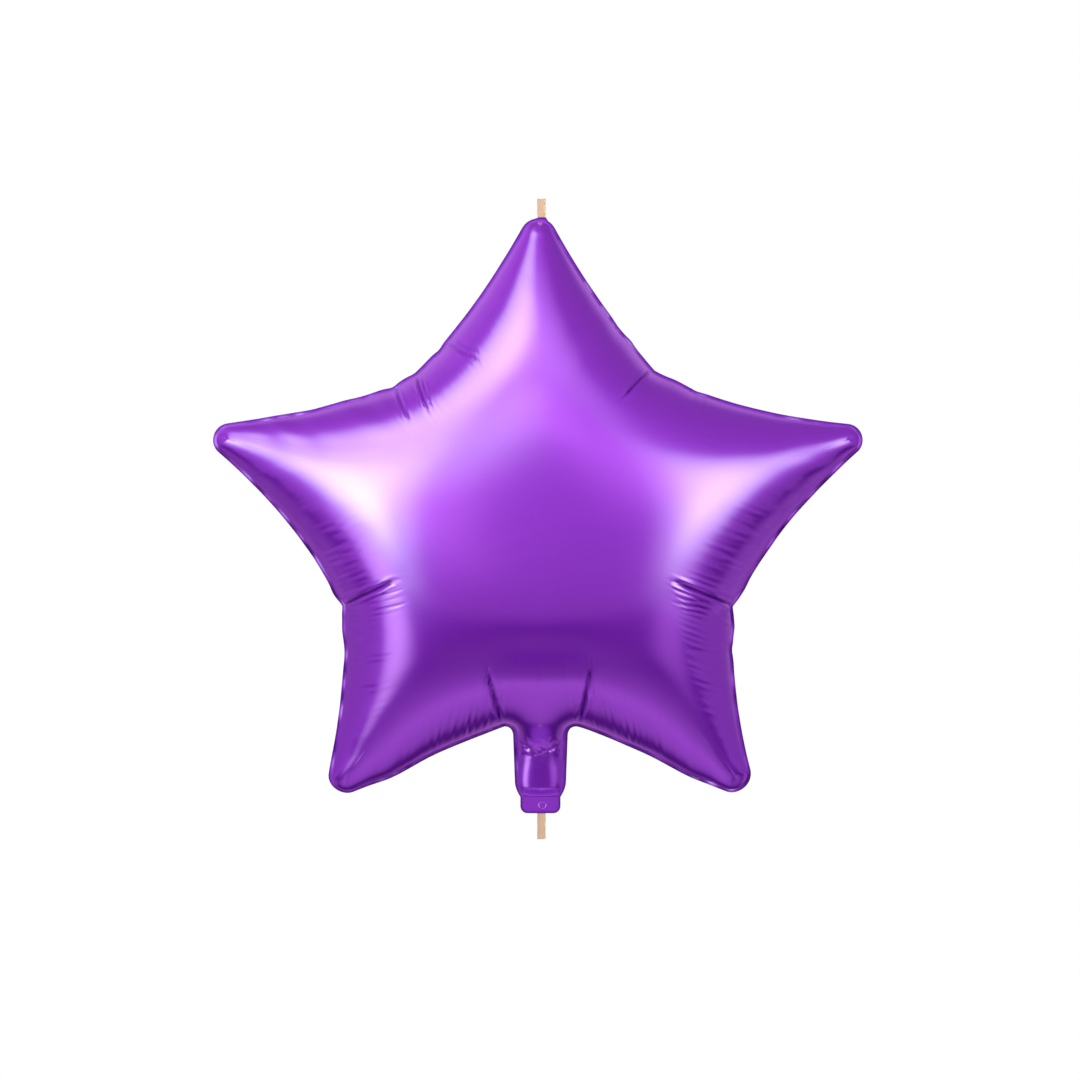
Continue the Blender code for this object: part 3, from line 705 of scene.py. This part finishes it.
def half_thickness(flat, skin, bulge, seam_thickness, pad_thickness):
    """Half the balloon's thickness at each point: the seam, its thicker pads and the inflated film.

    The film stands bulge * sqrt(1 - (1 - w / top) ** BULGE_ROUNDNESS) proud of the seam, where w is the
    membrane's height: a round tube along an arm, and a flatter dome in the middle of the star. The tail's
    film is TAIL_FULLNESS of that, and falls to nothing at its end pad."""
    share = np.clip(skin / skin.max(), 0.0, 1.0)
    film = bulge * np.sqrt(1.0 - (1.0 - share) ** BULGE_ROUNDNESS)
    drop = -flat[:, 1]
    tail = in_tail(flat)
    above, below = TAIL_NARROWING
    narrowing = smooth_step(drop, TAIL_MOUTH_DROP - above, TAIL_MOUTH_DROP + below) * tail
    sealing = smooth_step(drop, TAIL_PAD_DROP - TAIL_SEAL_BLEND, TAIL_PAD_DROP) * tail
    film *= (1.0 - (1.0 - TAIL_FULLNESS) * narrowing) * (1.0 - sealing)
    top_pad = smooth_step(flat[:, 1], TOP_PAD_BOTTOM - PAD_BLEND, TOP_PAD_BOTTOM)
    pads = np.maximum(sealing, top_pad)
    return (seam_thickness + (pad_thickness - seam_thickness) * pads) / 2 + film


def ripples(grid, reach, seeds):
    """Fine gathers square to the seam: random waves along it, another set of them further in, times a rise
    from the seam and a fade at the end of their reach."""
    outline = grid["outline"]
    along, around = places_along(outline)
    near = random_waves(along, around, *RIPPLE_LENGTHS_NEAR, seeds[0])[grid["place"]]
    far = random_waves(along, around, *RIPPLE_LENGTHS_FAR, seeds[1])[grid["place"]]
    bearings, strengths = np.array(RIPPLE_STRENGTH, float).T
    strength = np.interp(bearing_of(outline), bearings, strengths)[grid["place"]]
    length = np.minimum(reach, RIPPLE_SHARE_OF_ARM * grid["reach"])[grid["place"]]
    share = grid["inset"] / length
    turn = smooth_step(share, *RIPPLE_TURN)
    envelope = smooth_step(grid["inset"], 0.0, RIPPLE_RISE) * (1.0 - smooth_step(share, *RIPPLE_FADE))
    return strength * envelope * (near * (1.0 - turn) + far * turn)


def crumples(flat, seed):
    """Irregular folds at the tail's mouth, about 1 deep: a sum of seeded sine waves in all directions, times
    exp(-a ** 2), where a is the distance from the patch's middle in units of its reach."""
    random = np.random.default_rng(seed)
    lengths = random.uniform(*CRUMPLE_LENGTHS, CRUMPLE_WAVES)
    headings = random.uniform(0, 2 * math.pi, CRUMPLE_WAVES)
    starts = random.uniform(0, 2 * math.pi, CRUMPLE_WAVES)
    turns = 2 * math.pi / lengths * np.array([np.cos(headings), np.sin(headings)])
    waves = np.sin(flat @ turns + starts).sum(axis=1) / math.sqrt(CRUMPLE_WAVES / 2)
    away = (flat - (TAIL_SHIFT, -CRUMPLE_DROP)) / CRUMPLE_REACH
    return waves * np.exp(-(away ** 2).sum(axis=1))


def pillow(flat):
    """The pillow above the tail, 1 high at its crest: a bell-shaped rise exp(-a ** 2), less a share of the
    same bell for the hollow along its top, where a is the height from each one's middle in half heights."""
    crest = np.exp(-((flat[:, 1] + PILLOW_CREST[0]) / PILLOW_CREST[1]) ** 2)
    hollow = np.exp(-((flat[:, 1] + PILLOW_HOLLOW[0]) / PILLOW_HOLLOW[1]) ** 2)
    inside = 1.0 - smooth_step(np.abs(flat[:, 0] - TAIL_SHIFT), *PILLOW_HALF_WIDTH)
    return inside * (crest - PILLOW_HOLLOW_SHARE * hollow)


def outward_normals(points, triangles):
    """Each point's normal: the sum of its triangles' normals, made one long."""
    corners = points[triangles]
    normals = np.repeat(np.cross(corners[:, 1] - corners[:, 0], corners[:, 2] - corners[:, 0]), 3, axis=0)
    index = triangles.ravel()
    total = np.column_stack([np.bincount(index, normals[:, axis], len(points)) for axis in range(3)])
    return total / np.linalg.norm(total, axis=1)[:, None]


def balloon_surface(film):
    """The whole envelope: front sheet, back sheet and the rim between them, as points and triangles, with
    each point's painted shade, from 0 to 1 where 1 is unshaded: painted shade in the creases and along the
    seam's outer edge."""
    grid = film_grid(film.seam_width)
    flat = grid["flat"]
    skin = np.zeros(len(flat))
    held = len(grid["is_held"])
    skin[:held] = membrane(flat[:held], grid["film"], grid["is_held"])
    pad_thickness = RIBBON_THICKNESS + 2 * film.pad_wall
    out = half_thickness(flat, skin, film.bulge, film.seam_thickness, pad_thickness)
    triangles = np.vstack([grid["film"], grid["seam"]])
    is_film = grid["inset"] > 0
    creases = crease_depth(flat) * is_film
    raised = film.pillow_height * pillow(flat) * is_film
    sway = film.seam_wave * seam_sway(grid)
    sheets = []
    for side, seeds, crumple_seed in zip((-1.0, 1.0), (FRONT_SEEDS, BACK_SEEDS), CRUMPLE_SEEDS):
        points = np.column_stack([flat[:, 0], -out, flat[:, 1]])
        normals = outward_normals(points, triangles)
        fine = film.ripple_depth * ripples(grid, film.ripple_reach, seeds)
        fine += film.crumple_depth * crumples(flat, crumple_seed)
        points -= normals * (film.crease_depth * creases - raised + fine * is_film)[:, None]
        points[:, 1] *= -side
        points[:, 1] += sway
        sheets.append(points + STAR_CENTRE)
    # Painted shade: each crease darkens the film by its depth, standing in for the shade that falls into it
    painted_shade = 1.0 - film.crease_painted_shade * np.clip(creases / CREASE_PAINTED_SHADE_DEPTH, 0.0, 1.0)
    # Painted shade along the seam: its rings get darker out to its edge
    for numbers, seam_painted_shade in zip(grid["seam_rings"], SEAM_PAINTED_SHADES):
        painted_shade[numbers] = seam_painted_shade
    count = len(flat)
    rim = ring_triangles(grid["rim"], grid["rim"] + count)
    triangles = np.vstack([triangles, triangles[:, ::-1] + count, rim])
    return np.vstack(sheets), triangles, np.concatenate([painted_shade, painted_shade])


def grid_points(x, y, z):
    """The points of a grid, row by row. A coordinate that is the same all along a row or a column is spread
    over the whole grid."""
    return np.column_stack([part.ravel() for part in np.broadcast_arrays(x, y, z)])


def tube_faces(along, around):
    """Four-sided faces of a grid of rings, each ring closed on itself."""
    ring, step = np.meshgrid(np.arange(along - 1), np.arange(around), indexing="ij")
    ring, step = ring.ravel() * around, step.ravel()
    after = (step + 1) % around
    return np.column_stack([ring + step, ring + after, ring + around + after, ring + around + step])


def ribbon_surface(low, high, thickness, rib_depth):
    """A flat ribbon in its box, as points and faces. Places run round its section and along its length.

    Its section is a flattened loop: across as the cosine of the place round it, through as the sine raised
    to a low power, bowed towards the front as a parabola and ribbed as a cosine of the place across. At each
    end a last ring has no thickness and closes the end."""
    turn = np.linspace(0.0, 2 * math.pi, RIBBON_AROUND, endpoint=False)
    lengthwise = np.linspace(low.z, high.z, RIBBON_ALONG)
    level = np.concatenate([[low.z], lengthwise, [high.z]])
    share = np.concatenate([[0.0], np.ones(RIBBON_ALONG), [0.0]])
    half_width = (high.x - low.x) / 2
    bow = high.y - low.y - thickness - 2 * rib_depth
    across = np.cos(turn)
    face = np.sign(np.sin(turn)) * np.abs(np.sin(turn)) ** RIBBON_SQUARENESS
    through = face * (thickness / 2 + rib_depth * np.cos(math.pi * RIBBON_RIBS * across))
    x = (low.x + high.x) / 2 + half_width * across
    y = (low.y + high.y) / 2 + bow * (across ** 2 - 0.5) + share[:, None] * through
    return grid_points(x, y, level[:, None]), tube_faces(len(level), RIBBON_AROUND)


def pressed_ring(size, pad_wall):
    """The raised ring on the tail's end pad: a flat, slightly oval loop. Places run round the loop and round
    its low rounded section: half its line's width times the cosine in the pad's plane, and its height times
    the sine out of it."""
    turn = np.linspace(0.0, 2 * math.pi, RING_AROUND, endpoint=False)[None, :]
    about = np.linspace(0.0, 2 * math.pi, RING_SECTION, endpoint=False)[:, None]
    reach = size / 2 - RING_LINE / 2 + RING_LINE / 2 * np.cos(about)
    face = RIBBON_THICKNESS / 2 + pad_wall
    x = STAR_CENTRE[0] + RING_PLACE[0] + reach * np.cos(turn)
    y = -face - RING_HEIGHT * np.sin(about)
    z = STAR_CENTRE[2] + RING_PLACE[1] + RING_OVAL * reach * np.sin(turn)
    faces = tube_faces(RING_SECTION, RING_AROUND)
    last = (RING_SECTION - 1) * RING_AROUND
    around = np.arange(RING_AROUND)
    closing = np.column_stack([last + around, last + np.roll(around, -1), np.roll(around, -1), around])
    return grid_points(x, y, z), np.vstack([faces, closing])


def seam_sway(grid):
    """The seam's slow wave out of its plane, about 1 high: random waves along it, times exp(-a) where a is
    the distance into the film in units of its reach. The ribbon's two pads stay flat."""
    outline = grid["outline"]
    along, around = places_along(outline)
    slow = random_waves(along, around, *SEAM_WAVE_LENGTHS, SEAM_SEED)
    top = smooth_step(outline[:, 1], TIPS[0][1] - TIPS[0][2] - PAD_BLEND, TIPS[0][1])
    tail = smooth_step(-outline[:, 1], TAIL_MOUTH_DROP, TAIL_LOW_DROP) * in_tail(outline)
    slow *= 1.0 - np.maximum(top, tail)
    return slow[grid["place"]] * np.exp(-grid["inset"] / SEAM_WAVE_REACH)


def places_along(outline):
    """Distance of each point along a closed line from its first point, and the length all round."""
    steps = np.hypot(*(np.roll(outline, -1, axis=0) - outline).T)
    return np.cumsum(steps) - steps, steps.sum()


class FilmSettings(bpy.types.PropertyGroup):
    """Sizes and finish of the foil envelope."""

    bulge: FloatProperty(
        name="Bulge", description="How far the film stands out from the seam at the middle of the star",
        default=(BALLOON_HIGH.y - BALLOON_LOW.y - FRAME_SEAM_THICKNESS) / 2, min=0.01, unit="LENGTH")
    seam_width: FloatProperty(
        name="Seam Width", description="Width of the flat welded edge",
        default=0.0022, min=0.001, unit="LENGTH")
    seam_thickness: FloatProperty(
        name="Seam Thickness", description="Thickness of the two welded sheets at the edge",
        default=0.0005, min=0.0001, unit="LENGTH")
    pad_wall: FloatProperty(
        name="Pad Wall", description="Film over each face of a sealed ribbon end",
        default=0.0004, unit="LENGTH")
    seam_wave: FloatProperty(
        name="Seam Wave", description="How far the seam sways in and out of its plane",
        default=0.0007, min=0.0, unit="LENGTH")
    crease_depth: FloatProperty(
        name="Crease Depth", description="Depth of the creases as a share of their full depth",
        default=1.0, min=0.0, subtype="FACTOR")
    # Strength of the painted shade at the bottom of a deep crease
    crease_painted_shade: FloatProperty(
        name="Crease Shade", description="How dark the film is at the bottom of a deep crease",
        default=0.75, min=0.0, max=1.0, subtype="FACTOR")
    pillow_height: FloatProperty(
        name="Pillow Height", description="How far the film between the lower creases stands out",
        default=0.0017, min=0.0, unit="LENGTH")
    crumple_depth: FloatProperty(
        name="Crumple Depth", description="Depth of the folds at the tail's mouth",
        default=0.00022, min=0.0, unit="LENGTH")
    ripple_depth: FloatProperty(
        name="Ripple Depth", description="Depth of the fine gathers beside the seam",
        default=0.000065, min=0.0, unit="LENGTH")
    ripple_reach: FloatProperty(
        name="Ripple Reach", description="How far in from the seam the fine gathers run",
        default=0.045, min=0.001, unit="LENGTH")
    ring_size: FloatProperty(
        name="Ring Size", description="Width of the ring pressed into the tail's end",
        default=0.0062, min=0.001, unit="LENGTH")
    colour: FloatVectorProperty(
        name="Colour", description="Colour of the lacquered film", default=(0.44, 0.033, 0.90),
        min=0.0, max=1.0, subtype="COLOR")
    metallic: FloatProperty(
        name="Metallic", description="Share of the surface that mirrors in its own colour",
        default=0.7, min=0.0, max=1.0, subtype="FACTOR")
    roughness: FloatProperty(
        name="Roughness", description="Roughness of the metal under the lacquer",
        default=0.45, min=0.0, max=1.0, subtype="FACTOR")
    gloss: FloatProperty(
        name="Gloss Roughness", description="Roughness of the clear lacquer",
        default=0.20, min=0.0, max=1.0, subtype="FACTOR")


class RibbonSettings(bpy.types.PropertyGroup):
    """Sizes and finish of the ribbon ends."""

    thickness: FloatProperty(
        name="Thickness", description="Thickness of the ribbon's weave",
        default=0.00022, min=0.0001, unit="LENGTH")
    rib_depth: FloatProperty(
        name="Rib Depth", description="Height of the ribs along the ribbon",
        default=0.00002, min=0.0, unit="LENGTH")
    colour: FloatVectorProperty(
        name="Colour", description="Colour of the ribbon", default=(0.80, 0.56, 0.32),
        min=0.0, max=1.0, subtype="COLOR")
    roughness: FloatProperty(
        name="Roughness", description="Roughness of the ribbon's woven face", default=0.5,
        min=0.0, max=1.0, subtype="FACTOR")


class StudioSettings(bpy.types.PropertyGroup):
    """The floor, the lamps and the camera."""

    lens: FloatProperty(
        name="Lens", description="Focal length on a 36 mm sensor", default=135.0, min=20.0, unit="CAMERA")
    frame_width: FloatProperty(
        name="Frame Width", description="Width of the picture at the seam's plane",
        default=0.75, unit="LENGTH")
    floor_drop: FloatProperty(
        name="Floor Drop", description="How far the floor lies below the balloon",
        default=1.0, unit="LENGTH")
    floor_colour: FloatVectorProperty(
        name="Floor Colour", description="Colour of the floor", default=(0.99, 0.99, 0.99),
        min=0.0, max=1.0, subtype="COLOR")
    light: FloatProperty(
        name="Light", description="Share of the lamps' full strength",
        default=1.0, min=0.0, subtype="FACTOR")


def add_object(name, data):
    """A new object in the scene."""
    thing = bpy.data.objects.new(name, data)
    bpy.context.scene.collection.objects.link(thing)
    return thing


def add_piece(name, points, triangles, material):
    """A smooth-shaded object at the origin for the points and triangles."""
    mesh = bpy.data.meshes.new(name)
    mesh.from_pydata(points, [], triangles)
    mesh.materials.append(material)
    mesh.shade_smooth()
    mesh.set_sharp_from_angle(angle=SHARP_ANGLE)
    mesh.validate()
    return add_object(name, mesh)


def new_material(name):
    """A new material, its shader, and its node tree."""
    material = bpy.data.materials.new(name)
    material.use_nodes = True
    tree = material.node_tree
    return material, tree.nodes["Principled BSDF"], tree


def foil_material(film, name="violet_foil", has_painted_shade=True):
    """Satin lacquered film: a coloured metal, a little rougher in some places than in others, under a clear
    coat. Where a piece's painted shade layer says so, it gets painted shade: a darker colour and less of its
    coat, so fewer highlights there."""
    material, shader, tree = new_material(name)
    shader.inputs["Base Color"].default_value = (*film.colour, 1.0)
    shader.inputs["Metallic"].default_value = film.metallic
    shader.inputs["Coat Weight"].default_value = 1.0
    shader.inputs["Coat Roughness"].default_value = film.gloss
    shader.inputs["Coat IOR"].default_value = COAT_IOR
    place = tree.nodes.new("ShaderNodeTexCoord")
    noise = tree.nodes.new("ShaderNodeTexNoise")
    noise.inputs["Scale"].default_value = HAZE_NOISE_SCALE
    tree.links.new(place.outputs["Object"], noise.inputs["Vector"])
    haze = tree.nodes.new("ShaderNodeMapRange")
    haze.inputs["To Min"].default_value = film.roughness * (1.0 - HAZE_SPREAD)
    haze.inputs["To Max"].default_value = film.roughness * (1.0 + HAZE_SPREAD)
    tree.links.new(noise.outputs["Fac"], haze.inputs["Value"])
    tree.links.new(haze.outputs["Result"], shader.inputs["Roughness"])
    # Pieces without painted shade stop here
    if not has_painted_shade:
        return material
    # Painted shade: the layer darkens the colour and thins the coat in creases and along the seam's edge
    shade_paint_layer = tree.nodes.new("ShaderNodeAttribute")
    shade_paint_layer.attribute_name = PAINTED_SHADE_LAYER
    dark = [PAINTED_SHADE_DARKEST * part for part in film.colour]
    colour = mix_node(tree, dark, film.colour, shade_paint_layer.outputs["Fac"])
    tree.links.new(colour, shader.inputs["Base Color"])
    tree.links.new(shade_paint_layer.outputs["Fac"], shader.inputs["Coat Weight"])
    return material


def mix_node(tree, first, second, share):
    """A mix of two colours by another node's result. The node's sockets for a share, a number, a vector and
    a colour share their names, so they are called by their places here."""
    node = tree.nodes.new("ShaderNodeMix")
    node.data_type = "RGBA"
    node.inputs[6].default_value = (*first, 1.0)
    node.inputs[7].default_value = (*second, 1.0)
    tree.links.new(share, node.inputs[0])
    return node.outputs[2]


def ribbon_material(ribbon):
    """Flat ribbon of lengthwise threads: noise drawn out along the ribbon makes threads of a lighter and a
    deeper tan, some of them glossier, and raises them a little."""
    material, shader, tree = new_material("tan_ribbon")
    place = tree.nodes.new("ShaderNodeTexCoord")
    stretch = tree.nodes.new("ShaderNodeMapping")
    stretch.inputs["Scale"].default_value = THREAD_STRETCH
    tree.links.new(place.outputs["Object"], stretch.inputs["Vector"])
    threads = tree.nodes.new("ShaderNodeTexNoise")
    threads.inputs["Scale"].default_value = THREAD_NOISE_SCALE
    tree.links.new(stretch.outputs["Vector"], threads.inputs["Vector"])
    deep = [THREAD_DEEP_SHARE * part for part in ribbon.colour]
    light = [THREAD_LIGHT_SHARE * part for part in ribbon.colour]
    tree.links.new(mix_node(tree, deep, light, threads.outputs["Fac"]), shader.inputs["Base Color"])
    sheen = tree.nodes.new("ShaderNodeMapRange")
    sheen.inputs["To Min"].default_value = ribbon.roughness * (1.0 - THREAD_SHEEN_SPREAD)
    sheen.inputs["To Max"].default_value = ribbon.roughness * (1.0 + THREAD_SHEEN_SPREAD)
    tree.links.new(threads.outputs["Fac"], sheen.inputs["Value"])
    tree.links.new(sheen.outputs["Result"], shader.inputs["Roughness"])
    bump = tree.nodes.new("ShaderNodeBump")
    bump.inputs["Distance"].default_value = THREAD_HEIGHT
    tree.links.new(threads.outputs["Fac"], bump.inputs["Height"])
    tree.links.new(bump.outputs["Normal"], shader.inputs["Normal"])
    return material


def make_floor(studio):
    """A wide pale floor well below the balloon. The camera sees it evenly pale, and the film hardly
    reflects it."""
    level = CAD_LOW.z - studio.floor_drop
    turns = ((-1, -1), (1, -1), (1, 1), (-1, 1))
    corners = [(FLOOR_REACH * across, FLOOR_REACH * deep, level) for across, deep in turns]
    material, shader, tree = new_material("pale_floor")
    shader.inputs["Base Color"].default_value = (*FLOOR_IN_REFLECTIONS, 1.0)
    shader.inputs["Roughness"].default_value = FLOOR_ROUGHNESS
    shader.inputs["Specular IOR Level"].default_value = 0.0
    shader.inputs["Emission Color"].default_value = (*studio.floor_colour, 1.0)
    path = tree.nodes.new("ShaderNodeLightPath")
    tree.links.new(path.outputs["Is Camera Ray"], shader.inputs["Emission Strength"])
    mesh = bpy.data.meshes.new("floor")
    mesh.from_pydata(corners, [], [(0, 1, 2, 3)])
    mesh.materials.append(material)
    add_object("floor", mesh)


def make_world():
    """A white background for the camera, and a dim even light for everything else."""
    world = bpy.data.worlds.new("studio")
    bpy.context.scene.world = world
    world.use_nodes = True
    tree = world.node_tree
    background = tree.nodes["Background"]
    path = tree.nodes.new("ShaderNodeLightPath")
    colour = mix_node(tree, VIOLET, WHITE, path.outputs["Is Camera Ray"])
    tree.links.new(colour, background.inputs["Color"])
    strength = tree.nodes.new("ShaderNodeMapRange")
    strength.inputs["To Min"].default_value = WORLD_GLOW
    strength.inputs["To Max"].default_value = 1.0
    tree.links.new(path.outputs["Is Camera Ray"], strength.inputs["Value"])
    tree.links.new(strength.outputs["Result"], background.inputs["Strength"])


def add_lamp(name, place, target, size, power):
    """A rectangular area lamp at a place, facing a target."""
    data = bpy.data.lights.new(name, "AREA")
    data.shape = "RECTANGLE"
    data.size, data.size_y = size
    data.energy = power
    lamp = add_object(name, data)
    lamp.location = place
    lamp.rotation_euler = (target - Vector(place)).to_track_quat("-Z", "Y").to_euler()
    lamp.visible_camera = False
    return lamp


def soften_face(lamp):
    """Make a lamp's face brightest in its middle, and fade it to its edges: FACE_PEAK * u * (1 - u) * v *
    (1 - v), where u and v are the shares of the way across and up."""
    lamp.data.use_nodes = True
    tree = lamp.data.node_tree
    face = tree.nodes.new("ShaderNodeNewGeometry")
    split = tree.nodes.new("ShaderNodeSeparateXYZ")
    tree.links.new(face.outputs["Parametric"], split.inputs["Vector"])
    fades = []
    for axis in ("X", "Y"):
        rest = math_node(tree, "SUBTRACT", 1.0, split.outputs[axis])
        fades.append(math_node(tree, "MULTIPLY", split.outputs[axis], rest))
    fade = math_node(tree, "MULTIPLY", *fades)
    tree.links.new(math_node(tree, "MULTIPLY", fade, FACE_PEAK), tree.nodes["Emission"].inputs["Strength"])


def math_node(tree, operation, first, second):
    """A math node's result. Each of its inputs is another node's output or a number."""
    node = tree.nodes.new("ShaderNodeMath")
    node.operation = operation
    for socket, value in zip(node.inputs, (first, second)):
        if isinstance(value, float):
            socket.default_value = value
        else:
            tree.links.new(value, socket)
    return node.outputs["Value"]


def make_lamps(studio, middle):
    """Large soft boxes round the balloon."""
    for name, bearing, rise, distance, width, height, strength, colour in LAMPS:
        turn, lift = math.radians(bearing), math.radians(rise)
        away = Vector((math.sin(turn) * math.cos(lift), -math.cos(turn) * math.cos(lift), math.sin(lift)))
        power = strength * studio.light * math.pi * width * height
        lamp = add_lamp(name, middle + distance * away, middle, (width, height), power)
        lamp.data.color = colour
        soften_face(lamp)


def make_ribbon_fills(studio):
    """Narrow fill lights on both faces of each ribbon end, which take the violet tinge off the ribbon."""
    ends = (
        ("top", (HANGING_HIGH.z + BALLOON_HIGH.z) / 2, HANGING_HIGH.z - BALLOON_HIGH.z),
        ("tail", (TAIL_RIBBON_LOW.z + BALLOON_LOW.z) / 2, BALLOON_LOW.z - TAIL_RIBBON_LOW.z),
    )
    for side, bearing in RIBBON_FILL_BEARINGS:
        turn = math.radians(bearing)
        away = Vector((math.sin(turn), -math.cos(turn), 0.0))
        for end, level, length in ends:
            data = bpy.data.lights.new("%s_%s_ribbon_fill" % (end, side), "SPOT")
            data.spot_size = 2 * math.atan(RIBBON_FILL_SPREAD * length / RIBBON_FILL_DISTANCE)
            data.spot_blend = RIBBON_FILL_BLEND
            data.energy = RIBBON_FILL_POWER * studio.light
            data.color = RIBBON_FILL_COLOUR
            data.shadow_soft_size = 0.0
            lamp = add_object(data.name, data)
            lamp.location = Vector((RIBBON_ACROSS, 0.0, level)) + RIBBON_FILL_DISTANCE * away
            lamp.rotation_euler = (math.pi / 2, 0.0, turn)


def make_camera(studio, middle):
    """A level camera straight in front of the balloon."""
    data = bpy.data.cameras.new("camera")
    data.lens = studio.lens
    camera = add_object("camera", data)
    distance = studio.frame_width * studio.lens / data.sensor_width
    camera.location = middle + Vector((0.0, -distance, 0.0))
    camera.rotation_euler = (math.pi / 2, 0.0, 0.0)
    bpy.context.scene.camera = camera


class FOILSTAR_OT_balloon(bpy.types.Operator):
    """Make the inflated foil envelope with its welded seam, creases and filling tail"""

    bl_idname = "foil_star.balloon"
    bl_label = "Make Balloon"

    def execute(self, context):
        film = context.scene.foil_star_film
        points, triangles, painted_shade = balloon_surface(film)
        balloon = add_piece("foil_envelope", points, triangles, foil_material(film))
        # Painted shade for each point, read by the material
        shade_paint_layer = balloon.data.attributes.new(PAINTED_SHADE_LAYER, "FLOAT", "POINT")
        shade_paint_layer.data.foreach_set("value", painted_shade)
        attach(balloon, "root")
        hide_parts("balloon")
        return {"FINISHED"}


class FOILSTAR_OT_ring(bpy.types.Operator):
    """Make the ring that is pressed into the tail's end"""

    bl_idname = "foil_star.ring"
    bl_label = "Make Pressed Ring"

    def execute(self, context):
        film = context.scene.foil_star_film
        points, faces = pressed_ring(film.ring_size, film.pad_wall)
        material = foil_material(film, "pressed_foil", has_painted_shade=False)
        ring = add_piece("pressed_ring", points, faces, material)
        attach(ring, "root")
        return {"FINISHED"}


class FOILSTAR_OT_ribbons(bpy.types.Operator):
    """Make the two ends of flat ribbon that are sealed into the top tip and the tail"""

    bl_idname = "foil_star.ribbons"
    bl_label = "Make Ribbon Ends"

    def execute(self, context):
        ribbon = context.scene.foil_star_ribbon
        material = ribbon_material(ribbon)
        boxes = (
            ("hanging_ribbon", HANGING_LOW, HANGING_HIGH),
            ("tail_ribbon", TAIL_RIBBON_LOW, TAIL_RIBBON_HIGH),
        )
        for node, low, high in boxes:
            points, faces = ribbon_surface(low, high, ribbon.thickness, ribbon.rib_depth)
            piece = add_piece("flat_" + node, points, faces, material)
            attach(piece, "root")
            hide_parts(node)
        return {"FINISHED"}


class FOILSTAR_OT_studio(bpy.types.Operator):
    """Make the floor, the lamps, the plain surroundings and the camera"""

    bl_idname = "foil_star.studio"
    bl_label = "Make Studio"

    def execute(self, context):
        studio = context.scene.foil_star_studio
        middle = Vector(PICTURE_MIDDLE)
        make_floor(studio)
        make_world()
        make_lamps(studio, middle)
        make_ribbon_fills(studio)
        make_camera(studio, middle)
        context.scene.view_settings.view_transform = "Standard"
        return {"FINISHED"}


# The panel's boxes: the settings in each, and its buttons
PANEL_ROWS = (
    ("foil_star_film", (FOILSTAR_OT_balloon.bl_idname, FOILSTAR_OT_ring.bl_idname)),
    ("foil_star_ribbon", (FOILSTAR_OT_ribbons.bl_idname,)),
    ("foil_star_studio", (FOILSTAR_OT_studio.bl_idname,)),
)


class FOILSTAR_PT_panel(bpy.types.Panel):
    """Sizes, colours and buttons of the foil star"""

    bl_idname = "FOILSTAR_PT_panel"
    bl_label = "Foil Star"
    bl_space_type = "VIEW_3D"
    bl_region_type = "UI"
    bl_category = "Foil Star"

    def draw(self, context):
        for settings, operators in PANEL_ROWS:
            box = self.layout.box()
            group = getattr(context.scene, settings)
            for name in group.__annotations__:
                box.prop(group, name)
            for operator in operators:
                box.operator(operator)


CLASSES = (
    FilmSettings,
    RibbonSettings,
    StudioSettings,
    FOILSTAR_OT_balloon,
    FOILSTAR_OT_ring,
    FOILSTAR_OT_ribbons,
    FOILSTAR_OT_studio,
    FOILSTAR_PT_panel,
)


def register():
    """Register the settings, the operators and the panel."""
    for item in CLASSES:
        bpy.utils.register_class(item)
    bpy.types.Scene.foil_star_film = PointerProperty(type=FilmSettings)
    bpy.types.Scene.foil_star_ribbon = PointerProperty(type=RibbonSettings)
    bpy.types.Scene.foil_star_studio = PointerProperty(type=StudioSettings)


def unregister():
    """Take the settings, the operators and the panel out again."""
    del bpy.types.Scene.foil_star_studio
    del bpy.types.Scene.foil_star_ribbon
    del bpy.types.Scene.foil_star_film
    for item in reversed(CLASSES):
        bpy.utils.unregister_class(item)


def main():
    """Make every piece and the studio."""
    register()
    bpy.ops.foil_star.balloon()
    bpy.ops.foil_star.ring()
    bpy.ops.foil_star.ribbons()
    bpy.ops.foil_star.studio()


if __name__ == "__main__":
    main()
